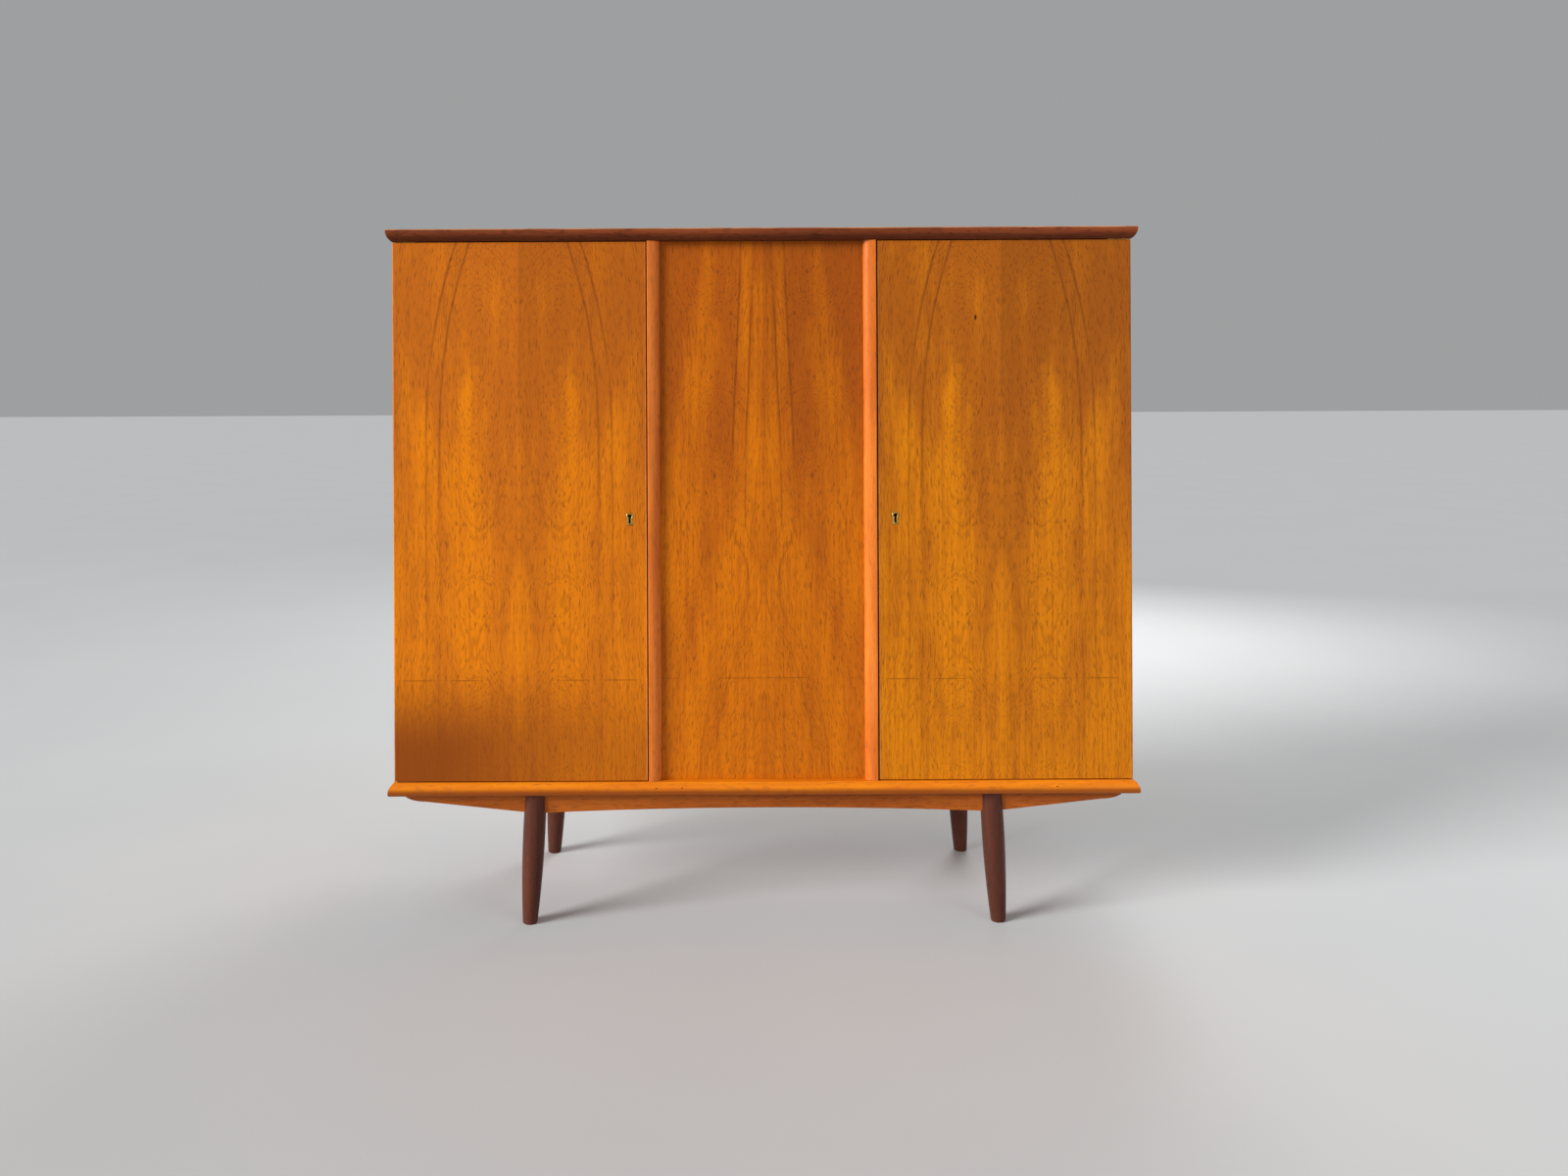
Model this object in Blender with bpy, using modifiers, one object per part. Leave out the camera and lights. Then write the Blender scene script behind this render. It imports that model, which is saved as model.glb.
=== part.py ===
"""Two-door teak wardrobe with a fixed, recessed middle panel and a base on splayed round legs.

Metres, +Z up, the front faces -Y and +X is to the viewer's right. The origin is on the floor, under
the middle of the top board. A distance called "out" is measured sideways from the middle plane, so
each pair of mirrored pieces is made by one loop over the two sides.
"""
import math

import bmesh
import bpy
from mathutils import Matrix, Vector

# Overall sizes
OVERALL_WIDTH = 1.650
OVERALL_DEPTH = 0.520
OVERALL_HEIGHT = 1.531
BASE_HEIGHT = 0.287

# Board thicknesses
TOP_THICKNESS = 0.026
SILL_THICKNESS = 0.027
SIDE_THICKNESS = 0.020
PARTITION_THICKNESS = 0.018
BACK_THICKNESS = 0.008
BACK_SINK = 0.001
SHELF_THICKNESS = 0.018
DOOR_THICKNESS = 0.020
CENTRE_PANEL_THICKNESS = 0.016

# Curved edges of the top and sill boards
NOSE_REACH = 0.011
TOP_NOSE_RISE = 0.022
TOP_ARRIS_RADIUS = 0.0015
SILL_NOSE_RISE = 0.020
SILL_ARRIS_RADIUS = 0.004
NOSE_STEPS = 9
FLAT_BEFORE_DOORS = 0.003

# Middle bay
CENTRE_OPENING = 0.450
CENTRE_PANEL_SETBACK = 0.014
PANEL_GROOVE_DEPTH = 0.008
POST_WIDTH = 0.0275
POST_PROUD = 0.003
POST_DEPTH = 0.053
POST_ARRIS_RADIUS = 0.0015
POST_LIP_BEFORE_PANEL = 0.002
DOOR_STOP_WIDTH = 0.015

# Clearances
GLUE_GAP = 0.0003
DOOR_TOP_GAP = 0.002
DOOR_BOTTOM_GAP = 0.0025
DOOR_BACK_GAP = 0.0025
DOOR_POST_GAP = 0.003
SHELF_FRONT_GAP = 0.006
OVERCUT = 0.001
TRIM_REACH = 0.100

# Doors
DOOR_OUTER_RADIUS = 0.004
DOOR_ARRIS_RADIUS = 0.001

# Pivot hinges
PIVOT_FROM_DOOR_EDGE = 0.007
PIVOT_FROM_DOOR_FRONT = 0.009
LEAF_WIDTH = 0.012
LEAF_LENGTH = 0.050
LEAF_THICKNESS = 0.0025
CASE_LEAF_PROUD = 0.001
PIN_RADIUS = 0.0025
PIN_REACH = 0.009
PIN_COLLAR_RADIUS = 0.0048
PIN_SIDES = 24
PIN_HOLE_STEP = 360 / PIN_SIDES

# Locks
KEYHOLE_FROM_EDGE = 0.0370
KEYHOLE_ABOVE_SILL = 0.578
LOCK_ABOVE_KEYHOLE = 0.019
LOCK_CASE_LENGTH = 0.052
LOCK_CASE_HEIGHT = 0.088
LOCK_CASE_THICKNESS = 0.011
FORE_PLATE_HEIGHT = 0.098
FORE_PLATE_WIDTH = 0.014
FORE_PLATE_THICKNESS = 0.002
BOLT_LENGTH = 0.030
BOLT_HEIGHT = 0.018
BOLT_THICKNESS = 0.008
BOLT_REST_SETBACK = 0.0005
STRIKE_HEIGHT = 0.060
STRIKE_THICKNESS = 0.0015
STRIKE_HOLE_CLEARANCE = 0.0006
STRIKE_HOLE_DEPTH = 0.010

# Escutcheons: a round head over a narrower, slightly flared stem
ESCUTCHEON_HEAD_RADIUS = 0.0079
ESCUTCHEON_WAIST_WIDTH = 0.0115
ESCUTCHEON_BASE_WIDTH = 0.0135
ESCUTCHEON_HEIGHT = 0.0286
ESCUTCHEON_PROUD = 0.0010
KEYHOLE_HEAD_RADIUS = 0.0042
KEYHOLE_SLOT_WIDTH = 0.0048
KEYHOLE_LENGTH = 0.0200

# Back panel rebate
REBATE_WIDTH = 0.010

# Inside
SHELVES_ABOVE_SILL = {"lower": 0.299, "middle": 0.594, "upper": 0.894}
SHELF_PIN_RADIUS = 0.0025
SHELF_PIN_EMBED = 0.008
SHELF_PIN_REACH = 0.008
SHELF_PIN_FROM_ENDS = 0.050
HANGING_RAIL_RADIUS = 0.0125
HANGING_RAIL_BELOW_TOP = 0.064
SOCKET_RADIUS = 0.020
SOCKET_THICKNESS = 0.014
SOCKET_FLOOR = 0.003

# Base
RAIL_THICKNESS = 0.022
RAIL_HEIGHT_AT_LEGS = 0.047
RAIL_HEIGHT_AT_MIDDLE = 0.0365
WING_HEIGHT = 0.0205
WING_ROUND_LENGTH = 0.050
WING_SETBACK = 0.015
RAIL_ARRIS_RADIUS = 0.0015
BACK_RAIL_BEYOND_LEG = 0.045
CROSS_RAIL_FROM_LEG = 0.060
CROSS_RAIL_HEIGHT = 0.040
LEG_OUT = 0.505
LEG_FROM_FRONT = 0.040
LEG_FROM_BACK = 0.104
LEG_SPLAY = 0.013
LEG_BELLY_RADIUS = 0.0246
LEG_BELLY_HEIGHT = 0.205
LEG_FOOT_RADIUS = 0.0160
LEG_FOOT_ROUND = 0.004
LEG_SIDES = 32
LEG_PROFILE_STEPS = 12
ARCH_STEPS = 24
WING_STEPS = 10
WING_END_ANGLE = -8

# Planes worked out from the sizes above
HALF_WIDTH = OVERALL_WIDTH / 2
BOARD_FRONT = -OVERALL_DEPTH / 2
BOARD_BACK = OVERALL_DEPTH / 2
TOP_UNDERSIDE = OVERALL_HEIGHT - TOP_THICKNESS
SILL_TOP = BASE_HEIGHT + SILL_THICKNESS
DOOR_FRONT = BOARD_FRONT + NOSE_REACH + FLAT_BEFORE_DOORS
DOOR_BACK = DOOR_FRONT + DOOR_THICKNESS
CASE_FRONT = DOOR_BACK + DOOR_BACK_GAP
CASE_OUT = HALF_WIDTH - NOSE_REACH
CASE_INSIDE_OUT = CASE_OUT - SIDE_THICKNESS
BACK_PANEL_BACK = BOARD_BACK - BACK_SINK
BACK_PANEL_FRONT = BACK_PANEL_BACK - BACK_THICKNESS
POST_INNER_OUT = CENTRE_OPENING / 2
POST_OUTER_OUT = POST_INNER_OUT + POST_WIDTH
POST_FRONT = DOOR_FRONT - POST_PROUD
POST_BACK = POST_FRONT + POST_DEPTH
CENTRE_PANEL_FRONT = DOOR_FRONT + CENTRE_PANEL_SETBACK
DOOR_INNER_OUT = POST_OUTER_OUT + DOOR_POST_GAP
DOOR_BOTTOM = SILL_TOP + DOOR_BOTTOM_GAP
DOOR_TOP = TOP_UNDERSIDE - DOOR_TOP_GAP
DOOR_MIDDLE = DOOR_FRONT + DOOR_THICKNESS / 2
PIVOT_OUT = CASE_OUT - PIVOT_FROM_DOOR_EDGE
PIVOT_DEPTH = DOOR_FRONT + PIVOT_FROM_DOOR_FRONT
KEYHOLE_OUT = DOOR_INNER_OUT + KEYHOLE_FROM_EDGE
KEYHOLE_HEIGHT = SILL_TOP + KEYHOLE_ABOVE_SILL
LOCK_HEIGHT = KEYHOLE_HEIGHT + LOCK_ABOVE_KEYHOLE
FRONT_RAIL_DEPTH = BOARD_FRONT + LEG_FROM_FRONT
BACK_RAIL_DEPTH = BOARD_BACK - LEG_FROM_BACK
RAIL_TOP = BASE_HEIGHT - GLUE_GAP
PARTITION_LEFT = -POST_OUTER_OUT
PARTITION_RIGHT = PARTITION_LEFT + PARTITION_THICKNESS
HANGING_RAIL_HEIGHT = TOP_UNDERSIDE - HANGING_RAIL_BELOW_TOP
HANGING_RAIL_DEPTH = (POST_BACK + BACK_PANEL_FRONT) / 2

SIDES = {"left": -1, "right": 1}
SHARP_ANGLE = math.radians(60)

# A finish is a linear colour, a roughness and a metallic value.
TEAK_VENEER = ((0.48, 0.17, 0.03), 0.42, 0.0)
SOLID_TEAK = ((0.55, 0.20, 0.03), 0.38, 0.0)
INSIDE_WOOD = ((0.50, 0.28, 0.12), 0.55, 0.0)
DARK_LEG = ((0.07, 0.022, 0.014), 0.35, 0.0)
BRASS = ((0.60, 0.41, 0.17), 0.30, 1.0)
STEEL = ((0.50, 0.50, 0.50), 0.35, 1.0)

for leftover in list(bpy.data.objects):
    bpy.data.objects.remove(leftover, do_unlink=True)

WARDROBE = bpy.data.collections.new("wardrobe")
CUTTERS = bpy.data.collections.new("cutters")
for group in (WARDROBE, CUTTERS):
    bpy.context.scene.collection.children.link(group)


# ---------------------------------------------------------------- shared shapes

def span(first, second):
    """The two values, lowest first."""
    return (min(first, second), max(first, second))


def finish_mesh(name, shape):
    """A mesh from a bmesh, with its faces pointing out."""
    bmesh.ops.recalc_face_normals(shape, faces=shape.faces)
    mesh = bpy.data.meshes.new(name)
    shape.to_mesh(mesh)
    shape.free()
    return mesh


def add_piece(name, mesh, finish, location=(0.0, 0.0, 0.0), rotation=(0.0, 0.0, 0.0)):
    """A named piece of the wardrobe, with its own material."""
    colour, roughness, metallic = finish
    material = bpy.data.materials.new(name)
    material.use_nodes = True
    shader = material.node_tree.nodes["Principled BSDF"]
    shader.inputs["Base Color"].default_value = (*colour, 1.0)
    shader.inputs["Roughness"].default_value = roughness
    shader.inputs["Metallic"].default_value = metallic
    mesh.materials.append(material)
    piece = bpy.data.objects.new(name, mesh)
    piece.location = location
    piece.rotation_euler = rotation
    WARDROBE.objects.link(piece)
    return piece


def add_cutter(name, mesh, location=(0.0, 0.0, 0.0), rotation=(0.0, 0.0, 0.0)):
    """A guide solid for a cut, left out of the model."""
    cutter = bpy.data.objects.new(name, mesh)
    cutter.location = location
    cutter.rotation_euler = rotation
    cutter.display_type = "WIRE"
    cutter.hide_render = True
    CUTTERS.objects.link(cutter)
    return cutter


def apply_boolean(piece, cutter, operation="DIFFERENCE"):
    """Cut or join a piece with a guide solid."""
    step = piece.modifiers.new(cutter.name, "BOOLEAN")
    step.operation = operation
    step.object = cutter


def box_mesh(name, x, y, z):
    """A box mesh centred on its own origin, and where that origin goes."""
    size = Vector((x[1] - x[0], y[1] - y[0], z[1] - z[0]))
    middle = Vector((x[0] + x[1], y[0] + y[1], z[0] + z[1])) / 2
    shape = bmesh.new()
    bmesh.ops.create_cube(shape, size=1.0)
    bmesh.ops.scale(shape, vec=size, verts=shape.verts)
    return finish_mesh(name, shape), middle


def block(name, x, y, z, finish):
    """A rectangular board."""
    mesh, middle = box_mesh(name, x, y, z)
    return add_piece(name, mesh, finish, middle)


def cut_block(piece, label, x, y, z):
    """A rectangular pocket or notch."""
    name = f"{piece.name}_{label}"
    mesh, middle = box_mesh(name, x, y, z)
    apply_boolean(piece, add_cutter(name, mesh, middle))


def join_block(piece, label, x, y, z):
    """A rectangular lump joined on."""
    name = f"{piece.name}_{label}"
    mesh, middle = box_mesh(name, x, y, z)
    apply_boolean(piece, add_cutter(name, mesh, middle), "UNION")


def rod_mesh(name, radius, length, sides):
    """A cylinder along its own Z."""
    shape = bmesh.new()
    bmesh.ops.create_cone(
        shape, cap_ends=True, segments=sides, radius1=radius, radius2=radius, depth=length)
    return finish_mesh(name, shape)


def cut_hole(piece, label, radius, length, middle, rotation=(0.0, 0.0, 0.0), sides=16):
    """A drilled hole, centred on its middle."""
    name = f"{piece.name}_{label}"
    apply_boolean(piece, add_cutter(name, rod_mesh(name, radius, length, sides), middle, rotation))


def plate_mesh(name, outlines, thickness):
    """A plate of a flat outline. The outlines after the first are holes in it."""
    curve = bpy.data.curves.new(name, "CURVE")
    curve.dimensions = "2D"
    curve.fill_mode = "BOTH"
    curve.extrude = thickness / 2
    for outline in outlines:
        spline = curve.splines.new("POLY")
        spline.points.add(len(outline) - 1)
        for point, (across, along) in zip(spline.points, outline):
            point.co = (across, along, 0.0, 1.0)
        spline.use_cyclic_u = True
    drawing = bpy.data.objects.new(name, curve)
    CUTTERS.objects.link(drawing)
    evaluated = drawing.evaluated_get(bpy.context.evaluated_depsgraph_get())
    filled = bpy.data.meshes.new_from_object(evaluated)
    shape = bmesh.new()
    shape.from_mesh(filled)
    bmesh.ops.remove_doubles(shape, verts=shape.verts, dist=1e-6)
    bpy.data.objects.remove(drawing, do_unlink=True)
    return finish_mesh(name, shape)


def arc(centre, radii, start, end, steps):
    """Points along an arc of a circle or an ellipse, angles in degrees."""
    points = []
    for step in range(steps + 1):
        angle = math.radians(start + (end - start) * step / steps)
        points.append((centre[0] + radii[0] * math.cos(angle), centre[1] + radii[1] * math.sin(angle)))
    return points


def round_edges(mesh, radius, segments, wanted):
    """Bevel the sharp edges whose two ends both pass the test."""
    shape = bmesh.new()
    shape.from_mesh(mesh)
    bmesh.ops.dissolve_limit(shape, angle_limit=0.001, verts=shape.verts, edges=shape.edges)
    edges = [
        edge for edge in shape.edges
        if edge.calc_face_angle() > SHARP_ANGLE and all(wanted(vert.co) for vert in edge.verts)]
    bmesh.ops.bevel(shape, geom=edges, offset=radius, segments=segments, profile=0.5, affect="EDGES")
    bmesh.ops.recalc_face_normals(shape, faces=shape.faces)
    shape.to_mesh(mesh)
    shape.free()


# ---------------------------------------------------------------- top and sill boards

def nose_profile(rise, arris_radius, thickness):
    """(inset, height) points of a board's edge, from its narrow face to its wide face.

    The curve is a circular arc that leaves the case's plane, ends upright, and meets the wide face
    in a small quarter round.
    """
    radius = (NOSE_REACH ** 2 + rise ** 2) / (2 * NOSE_REACH)
    points = []
    for step in range(NOSE_STEPS + 1):
        height = rise * step / NOSE_STEPS
        inset = radius - math.sqrt(radius ** 2 - (rise - height) ** 2)
        points.append((inset, height))
    for step in range(5):
        angle = math.radians(90 * step / 4)
        inset = arris_radius * (1 - math.cos(angle))
        height = thickness - arris_radius * (1 - math.sin(angle))
        points.append((inset, height))
    return points


def nosed_board(name, narrow_face, wide_face, rise, arris_radius):
    """A board curved along its front and both ends, mitred at the corners and square at the back."""
    direction = 1 if wide_face > narrow_face else -1
    shape = bmesh.new()
    rings = []
    for inset, height in nose_profile(rise, arris_radius, abs(wide_face - narrow_face)):
        z = narrow_face + direction * height
        out = HALF_WIDTH - inset
        front = BOARD_FRONT + inset
        corners = ((-out, front), (out, front), (out, BOARD_BACK), (-out, BOARD_BACK))
        rings.append([shape.verts.new((x, y, z)) for x, y in corners])
    for lower, upper in zip(rings, rings[1:]):
        for index in range(4):
            following = (index + 1) % 4
            shape.faces.new((lower[index], lower[following], upper[following], upper[index]))
    shape.faces.new(rings[0])
    shape.faces.new(rings[-1])
    return add_piece(name, finish_mesh(name, shape), SOLID_TEAK)


def cut_back_rebate(board, inner_face, outwards):
    """The rebate that takes the back panel, along a board's back edge."""
    cut_block(
        board, "back_rebate",
        (-CASE_OUT + REBATE_WIDTH - GLUE_GAP, CASE_OUT - REBATE_WIDTH + GLUE_GAP),
        (BACK_PANEL_FRONT - GLUE_GAP, BOARD_BACK + REBATE_WIDTH),
        span(inner_face - outwards * REBATE_WIDTH, inner_face + outwards * REBATE_WIDTH))


top_board = nosed_board(
    "top_board", TOP_UNDERSIDE, OVERALL_HEIGHT, TOP_NOSE_RISE, TOP_ARRIS_RADIUS)
sill_board = nosed_board("sill_board", SILL_TOP, BASE_HEIGHT, SILL_NOSE_RISE, SILL_ARRIS_RADIUS)
cut_back_rebate(top_board, TOP_UNDERSIDE, 1)
cut_back_rebate(sill_board, SILL_TOP, -1)


# ---------------------------------------------------------------- sides, partition and back

CASE_SPAN = (SILL_TOP + GLUE_GAP, TOP_UNDERSIDE - GLUE_GAP)

side_panels = {}
for side_name, sign in SIDES.items():
    panel = block(
        f"{side_name}_side_panel", span(sign * CASE_INSIDE_OUT, sign * CASE_OUT),
        (CASE_FRONT, BOARD_BACK), CASE_SPAN, TEAK_VENEER)
    cut_block(
        panel, "back_rebate",
        span(sign * (CASE_OUT - REBATE_WIDTH), sign * (CASE_INSIDE_OUT - REBATE_WIDTH)),
        (BACK_PANEL_FRONT - GLUE_GAP, BOARD_BACK + REBATE_WIDTH),
        (SILL_TOP - REBATE_WIDTH, TOP_UNDERSIDE + REBATE_WIDTH))
    side_panels[side_name] = panel

partition = block(
    "partition", (PARTITION_LEFT, PARTITION_RIGHT),
    (POST_BACK + GLUE_GAP, BACK_PANEL_FRONT - GLUE_GAP), CASE_SPAN, INSIDE_WOOD)

BACK_PANEL_OUT = CASE_OUT - REBATE_WIDTH - GLUE_GAP
block(
    "back_panel", (-BACK_PANEL_OUT, BACK_PANEL_OUT), (BACK_PANEL_FRONT, BACK_PANEL_BACK),
    (SILL_TOP - REBATE_WIDTH + GLUE_GAP, TOP_UNDERSIDE + REBATE_WIDTH - GLUE_GAP), INSIDE_WOOD)


# ---------------------------------------------------------------- middle bay

def post_outline(sign):
    """A post seen from above: tall beside the door, curving down to a lip before the panel."""
    groove_front = CENTRE_PANEL_FRONT - GLUE_GAP
    groove_back = CENTRE_PANEL_FRONT + CENTRE_PANEL_THICKNESS + GLUE_GAP
    groove_out = POST_INNER_OUT + PANEL_GROOVE_DEPTH
    arris_out = POST_OUTER_OUT - POST_ARRIS_RADIUS
    arris = arc(
        (arris_out, POST_FRONT + POST_ARRIS_RADIUS), (POST_ARRIS_RADIUS, POST_ARRIS_RADIUS), 0, -90, 3)
    curve_end = CENTRE_PANEL_FRONT - POST_LIP_BEFORE_PANEL
    curve = arc(
        (arris_out, curve_end), (arris_out - POST_INNER_OUT, curve_end - POST_FRONT), -90, -180, 12)
    rest = [
        (POST_INNER_OUT, groove_front),
        (groove_out, groove_front),
        (groove_out, groove_back),
        (POST_INNER_OUT, groove_back),
        (POST_INNER_OUT, POST_BACK),
        (POST_OUTER_OUT, POST_BACK),
    ]
    return [(sign * out, depth) for out, depth in arris + curve[1:] + rest]


CASE_MIDDLE_HEIGHT = (SILL_TOP + TOP_UNDERSIDE) / 2
for side_name, sign in SIDES.items():
    name = f"{side_name}_post"
    post = add_piece(
        name, plate_mesh(name, [post_outline(sign)], CASE_SPAN[1] - CASE_SPAN[0]), SOLID_TEAK,
        (0.0, 0.0, CASE_MIDDLE_HEIGHT))
    block(
        f"{side_name}_door_stop",
        span(sign * (POST_OUTER_OUT + GLUE_GAP), sign * (POST_OUTER_OUT + DOOR_STOP_WIDTH)),
        (CASE_FRONT, POST_BACK), CASE_SPAN, SOLID_TEAK)
    strike_height = STRIKE_HEIGHT / 2 + GLUE_GAP
    strike_width = FORE_PLATE_WIDTH / 2 + GLUE_GAP
    cut_block(
        post, "strike_recess",
        span(
            sign * (POST_OUTER_OUT - STRIKE_THICKNESS - GLUE_GAP),
            sign * (POST_OUTER_OUT + DOOR_POST_GAP)),
        (DOOR_MIDDLE - strike_width, DOOR_MIDDLE + strike_width),
        (LOCK_HEIGHT - strike_height, LOCK_HEIGHT + strike_height))
    hole_height = BOLT_HEIGHT / 2 + STRIKE_HOLE_CLEARANCE
    hole_width = BOLT_THICKNESS / 2 + STRIKE_HOLE_CLEARANCE
    bolt_hole = (
        (DOOR_MIDDLE - hole_width, DOOR_MIDDLE + hole_width),
        (LOCK_HEIGHT - hole_height, LOCK_HEIGHT + hole_height))
    cut_block(
        post, "bolt_hole", span(sign * (POST_OUTER_OUT - STRIKE_HOLE_DEPTH), sign * POST_OUTER_OUT),
        *bolt_hole)
    strike = block(
        f"{side_name}_strike_plate",
        span(sign * (POST_OUTER_OUT - STRIKE_THICKNESS), sign * POST_OUTER_OUT),
        (DOOR_MIDDLE - FORE_PLATE_WIDTH / 2, DOOR_MIDDLE + FORE_PLATE_WIDTH / 2),
        (LOCK_HEIGHT - STRIKE_HEIGHT / 2, LOCK_HEIGHT + STRIKE_HEIGHT / 2), BRASS)
    cut_block(
        strike, "bolt_hole", span(sign * (POST_OUTER_OUT - STRIKE_HOLE_DEPTH), sign * CASE_OUT), *bolt_hole)

CENTRE_PANEL_OUT = POST_INNER_OUT + PANEL_GROOVE_DEPTH - GLUE_GAP
block(
    "centre_panel", (-CENTRE_PANEL_OUT, CENTRE_PANEL_OUT),
    (CENTRE_PANEL_FRONT, CENTRE_PANEL_FRONT + CENTRE_PANEL_THICKNESS), CASE_SPAN, TEAK_VENEER)


# ---------------------------------------------------------------- pivot hinges

def leaf_outline(sign, gap):
    """A leaf seen from above: round about the pivot, square at its inner end."""
    radius = LEAF_WIDTH / 2 + gap
    reach = LEAF_LENGTH - LEAF_WIDTH / 2 + gap
    rim = arc((0.0, 0.0), (radius, radius), -90, 90, 12) + [(-reach, radius), (-reach, -radius)]
    return [(sign * out, depth) for out, depth in rim]


def leaf_mesh(name, sign):
    """A hinge leaf with its pivot hole."""
    hole_radius = PIN_RADIUS + GLUE_GAP
    hole = arc((0.0, 0.0), (hole_radius, hole_radius), 0, 360 - PIN_HOLE_STEP, PIN_SIDES - 1)
    return plate_mesh(name, [leaf_outline(sign, 0.0), hole], LEAF_THICKNESS)


def pin_profile(level, door_edge, up):
    """(radius, height) points of a pivot pin, top to bottom.

    The pin runs from inside the case board to inside the door. The lower pins carry the doors on a collar.
    """
    board_end = level - up * PIN_REACH
    door_end = door_edge + up * PIN_REACH
    bottom, top = span(board_end, door_end)
    collar = []
    if up > 0:
        collar_top = door_edge - GLUE_GAP
        collar_bottom = level + CASE_LEAF_PROUD + GLUE_GAP
        collar = [
            (PIN_RADIUS, collar_top), (PIN_COLLAR_RADIUS, collar_top),
            (PIN_COLLAR_RADIUS, collar_bottom), (PIN_RADIUS, collar_bottom)]
    return [(0.0, top), (PIN_RADIUS, top), *collar, (PIN_RADIUS, bottom), (0.0, bottom)]


def turned_piece(name, profile, sides, finish, location=(0.0, 0.0, 0.0), rotation=(0.0, 0.0, 0.0)):
    """A piece turned from (radius, height) points that run down its outer side."""
    mesh = bpy.data.meshes.new(name)
    points = [(radius, 0.0, height) for radius, height in profile]
    mesh.from_pydata(points, [(index, index + 1) for index in range(len(points) - 1)], [])
    piece = add_piece(name, mesh, finish, location, rotation)
    screw = piece.modifiers.new("turn", "SCREW")
    screw.steps = sides
    screw.render_steps = sides
    screw.use_merge_vertices = True
    screw.merge_threshold = 0.00001
    return piece


def add_leaf(name, host, sign, face, inwards, sunk):
    """A hinge leaf sunk into a face of its host, and the pocket that holds it."""
    place = (sign * PIVOT_OUT, PIVOT_DEPTH)
    middle = face + inwards * (sunk - LEAF_THICKNESS / 2)
    leaf = add_piece(name, leaf_mesh(name, sign), BRASS, (*place, middle))
    pocket = plate_mesh(
        f"{name}_pocket", [leaf_outline(sign, GLUE_GAP)], sunk + GLUE_GAP + OVERCUT)
    pocket_middle = face + inwards * (sunk + GLUE_GAP - OVERCUT) / 2
    apply_boolean(host, add_cutter(f"{name}_pocket", pocket, (*place, pocket_middle)))
    hole_length = PIN_REACH + GLUE_GAP + OVERCUT
    hole_middle = face + inwards * (PIN_REACH + GLUE_GAP - OVERCUT) / 2
    cut_hole(
        host, f"{name}_pin_hole", PIN_RADIUS + GLUE_GAP, hole_length, (*place, hole_middle),
        sides=PIN_SIDES)
    return leaf


def add_hinge(prefix, sign, door, board, level, door_edge, up):
    """A pivot hinge at a door's end: a leaf in the case board, a leaf in the door, and the pin."""
    add_leaf(f"{prefix}_case_leaf", board, sign, level, -up, LEAF_THICKNESS - CASE_LEAF_PROUD)
    turned_piece(
        f"{prefix}_hinge_pin", pin_profile(level, door_edge, up), PIN_SIDES, STEEL,
        (sign * PIVOT_OUT, PIVOT_DEPTH, 0.0))
    return add_leaf(f"{prefix}_door_leaf", door, sign, door_edge, up, LEAF_THICKNESS)


# ---------------------------------------------------------------- doors and locks

ESCUTCHEON_HEAD_CENTRE = ESCUTCHEON_HEIGHT / 2 - ESCUTCHEON_HEAD_RADIUS


def head_and_stem(radius, waist_half, foot_half, foot_height):
    """A round head over a stem, the head centred where the escutcheon's is."""
    start = -math.degrees(math.acos(waist_half / radius))
    head = arc((0.0, ESCUTCHEON_HEAD_CENTRE), (radius, radius), start, 180 - start, 20)
    return head + [(-foot_half, foot_height), (foot_half, foot_height)]


def escutcheon_outline(gap):
    """A thread escutcheon seen from the front, its middle at the origin."""
    return head_and_stem(
        ESCUTCHEON_HEAD_RADIUS + gap, ESCUTCHEON_WAIST_WIDTH / 2 + gap,
        ESCUTCHEON_BASE_WIDTH / 2 + gap, -ESCUTCHEON_HEIGHT / 2 - gap)


def keyhole_outline():
    """The keyhole in the escutcheon: a round hole over a straight slot."""
    half_slot = KEYHOLE_SLOT_WIDTH / 2
    foot_height = ESCUTCHEON_HEAD_CENTRE + KEYHOLE_HEAD_RADIUS - KEYHOLE_LENGTH
    return head_and_stem(KEYHOLE_HEAD_RADIUS, half_slot, half_slot, foot_height)


FACING_FRONT = (math.pi / 2, 0.0, 0.0)
CASE_HALF_THICKNESS = LOCK_CASE_THICKNESS / 2
DOOR_WALL = DOOR_THICKNESS / 2 - CASE_HALF_THICKNESS - GLUE_GAP


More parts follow.
